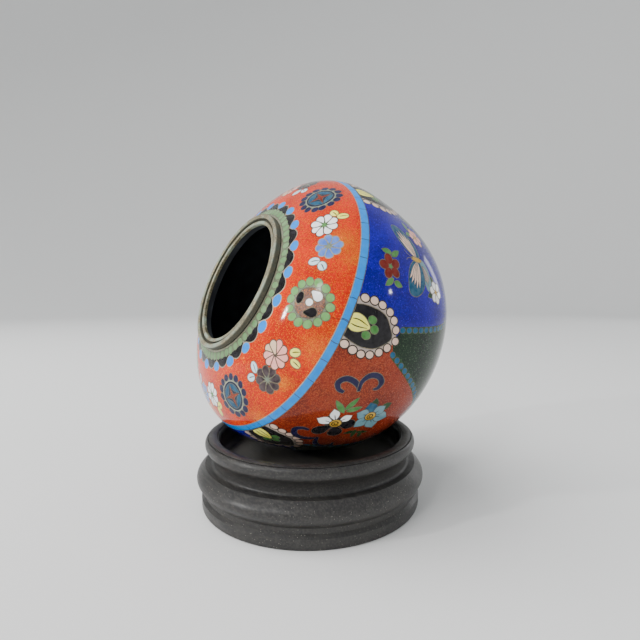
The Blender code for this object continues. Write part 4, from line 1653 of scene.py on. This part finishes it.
def close_seam(corners, triangles, left, right):
    """Joins the net's right edge to its left edge, corner by corner."""
    at_left = np.flatnonzero(np.abs(corners[:, 0] - left) < ON_SEAM)
    joined = np.arange(len(corners))
    for corner in np.flatnonzero(np.abs(corners[:, 0] - right) < ON_SEAM):
        nearest = at_left[np.argmin(np.abs(corners[at_left, 1] - corners[corner, 1]))]
        if abs(corners[nearest, 1] - corners[corner, 1]) < SAME_PLACE:
            joined[corner] = nearest
    return corners, joined[triangles]


(net, triangles), owner = cut_skin()
outer, normals = skin_place(np.degrees(net[:, 0]), -net[:, 1])
inner, _ = skin_place(np.degrees(net[:, 0]), -net[:, 1], ENAMEL_DEPTH / JAR_RADIUS)
print("net:", len(net), "corners,", len(triangles), "triangles")

# %% [markdown]
# The triangles of each motif become a piece of their own, as thick as real enamel: a polished face, a
# hidden back, and walls along its border. Every cell takes its finish, and the normals come from the true
# outline, so the glass looks smooth over all the cuts. The orange ground also stores, in its mesh, the mask
# of painted glints, because they lie at places on the jar where the lamps glint.

# %% Wrap the net round the jar
# Places of the painted glints on the orange ground, repeated three times around: turn, distance down,
# reach.
GLINT_PLACES = [(-69.0, 0.530, 0.075), (-75.0, 0.585, 0.050), (-104.5, 0.600, 0.060), (-110.0, 0.590, 0.085),
               (-129.0, 0.560, 0.045), (-150.0, 0.600, 0.060)]


def gold_amount(turns, downs):
    """How strong the painted glint is at places on the skin, from 0 to 1."""
    amount = np.zeros(len(turns))
    for turn, down, reach in GLINT_PLACES:
        away = (turns - turn + REPEAT_TURN / 2.0) % REPEAT_TURN - REPEAT_TURN / 2.0
        aside = np.radians(away) * radius_at(downs)
        amount = np.maximum(amount, np.exp(-(aside ** 2 + (downs - down) ** 2) / reach ** 2))
    return amount


def enamel_piece(name, chosen):
    """A closed piece of the skin: polished face, hidden back, and walls along its border."""
    used, corner = np.unique(triangles[chosen], return_inverse=True)
    corner = corner.reshape(-1, 3)
    count = len(used)
    starts = corner.ravel()
    ends = np.roll(corner, -1, axis=1).ravel()
    border = ~np.isin(starts * count + ends, ends * count + starts)
    starts, ends = starts[border], ends[border]
    walls = np.stack([ends, starts, starts + count, ends + count], axis=1)
    faces = corner.tolist() + (corner[:, ::-1] + count).tolist() + walls.tolist()
    mesh = bpy.data.meshes.new(name)
    mesh.from_pydata(np.concatenate([outer[used], inner[used]]).tolist(), [], faces)
    names = [cells[number][1] for number in owner[chosen]]
    order = list(dict.fromkeys(names))
    slots = [order.index(finish) for finish in names]
    wall_slot = order.index("wire") if "wire" in order else 0
    mesh.polygons.foreach_set("material_index", slots * 2 + [wall_slot] * len(walls))
    mesh.polygons.foreach_set("use_smooth", [True] * (2 * len(corner)) + [False] * len(walls))
    face_normals = np.concatenate([normals[used][corner.ravel()], -normals[used][corner[:, ::-1].ravel()],
                                   np.zeros((4 * len(walls), 3))])
    mesh.normals_split_custom_set(face_normals.tolist())
    if "red_ground" in order:
        amount = gold_amount(np.degrees(net[used, 0]), -net[used, 1])
        mask = mesh.attributes.new(GLINT_MASK, "FLOAT", "POINT")
        mask.data.foreach_set("value", np.concatenate([amount, amount]))
    return dress(add_object(name, mesh), "jar_body", *[finishes[finish] for finish in order])


piece_of = np.array([cells[number][2] for number in owner])
for name in dict.fromkeys(piece for _, _, piece in cells):
    chosen = np.flatnonzero(piece_of == name)
    if len(chosen):
        enamel = enamel_piece(name, chosen)
        print(name, len(enamel.data.polygons), "faces,", len(enamel.data.materials), "enamels")
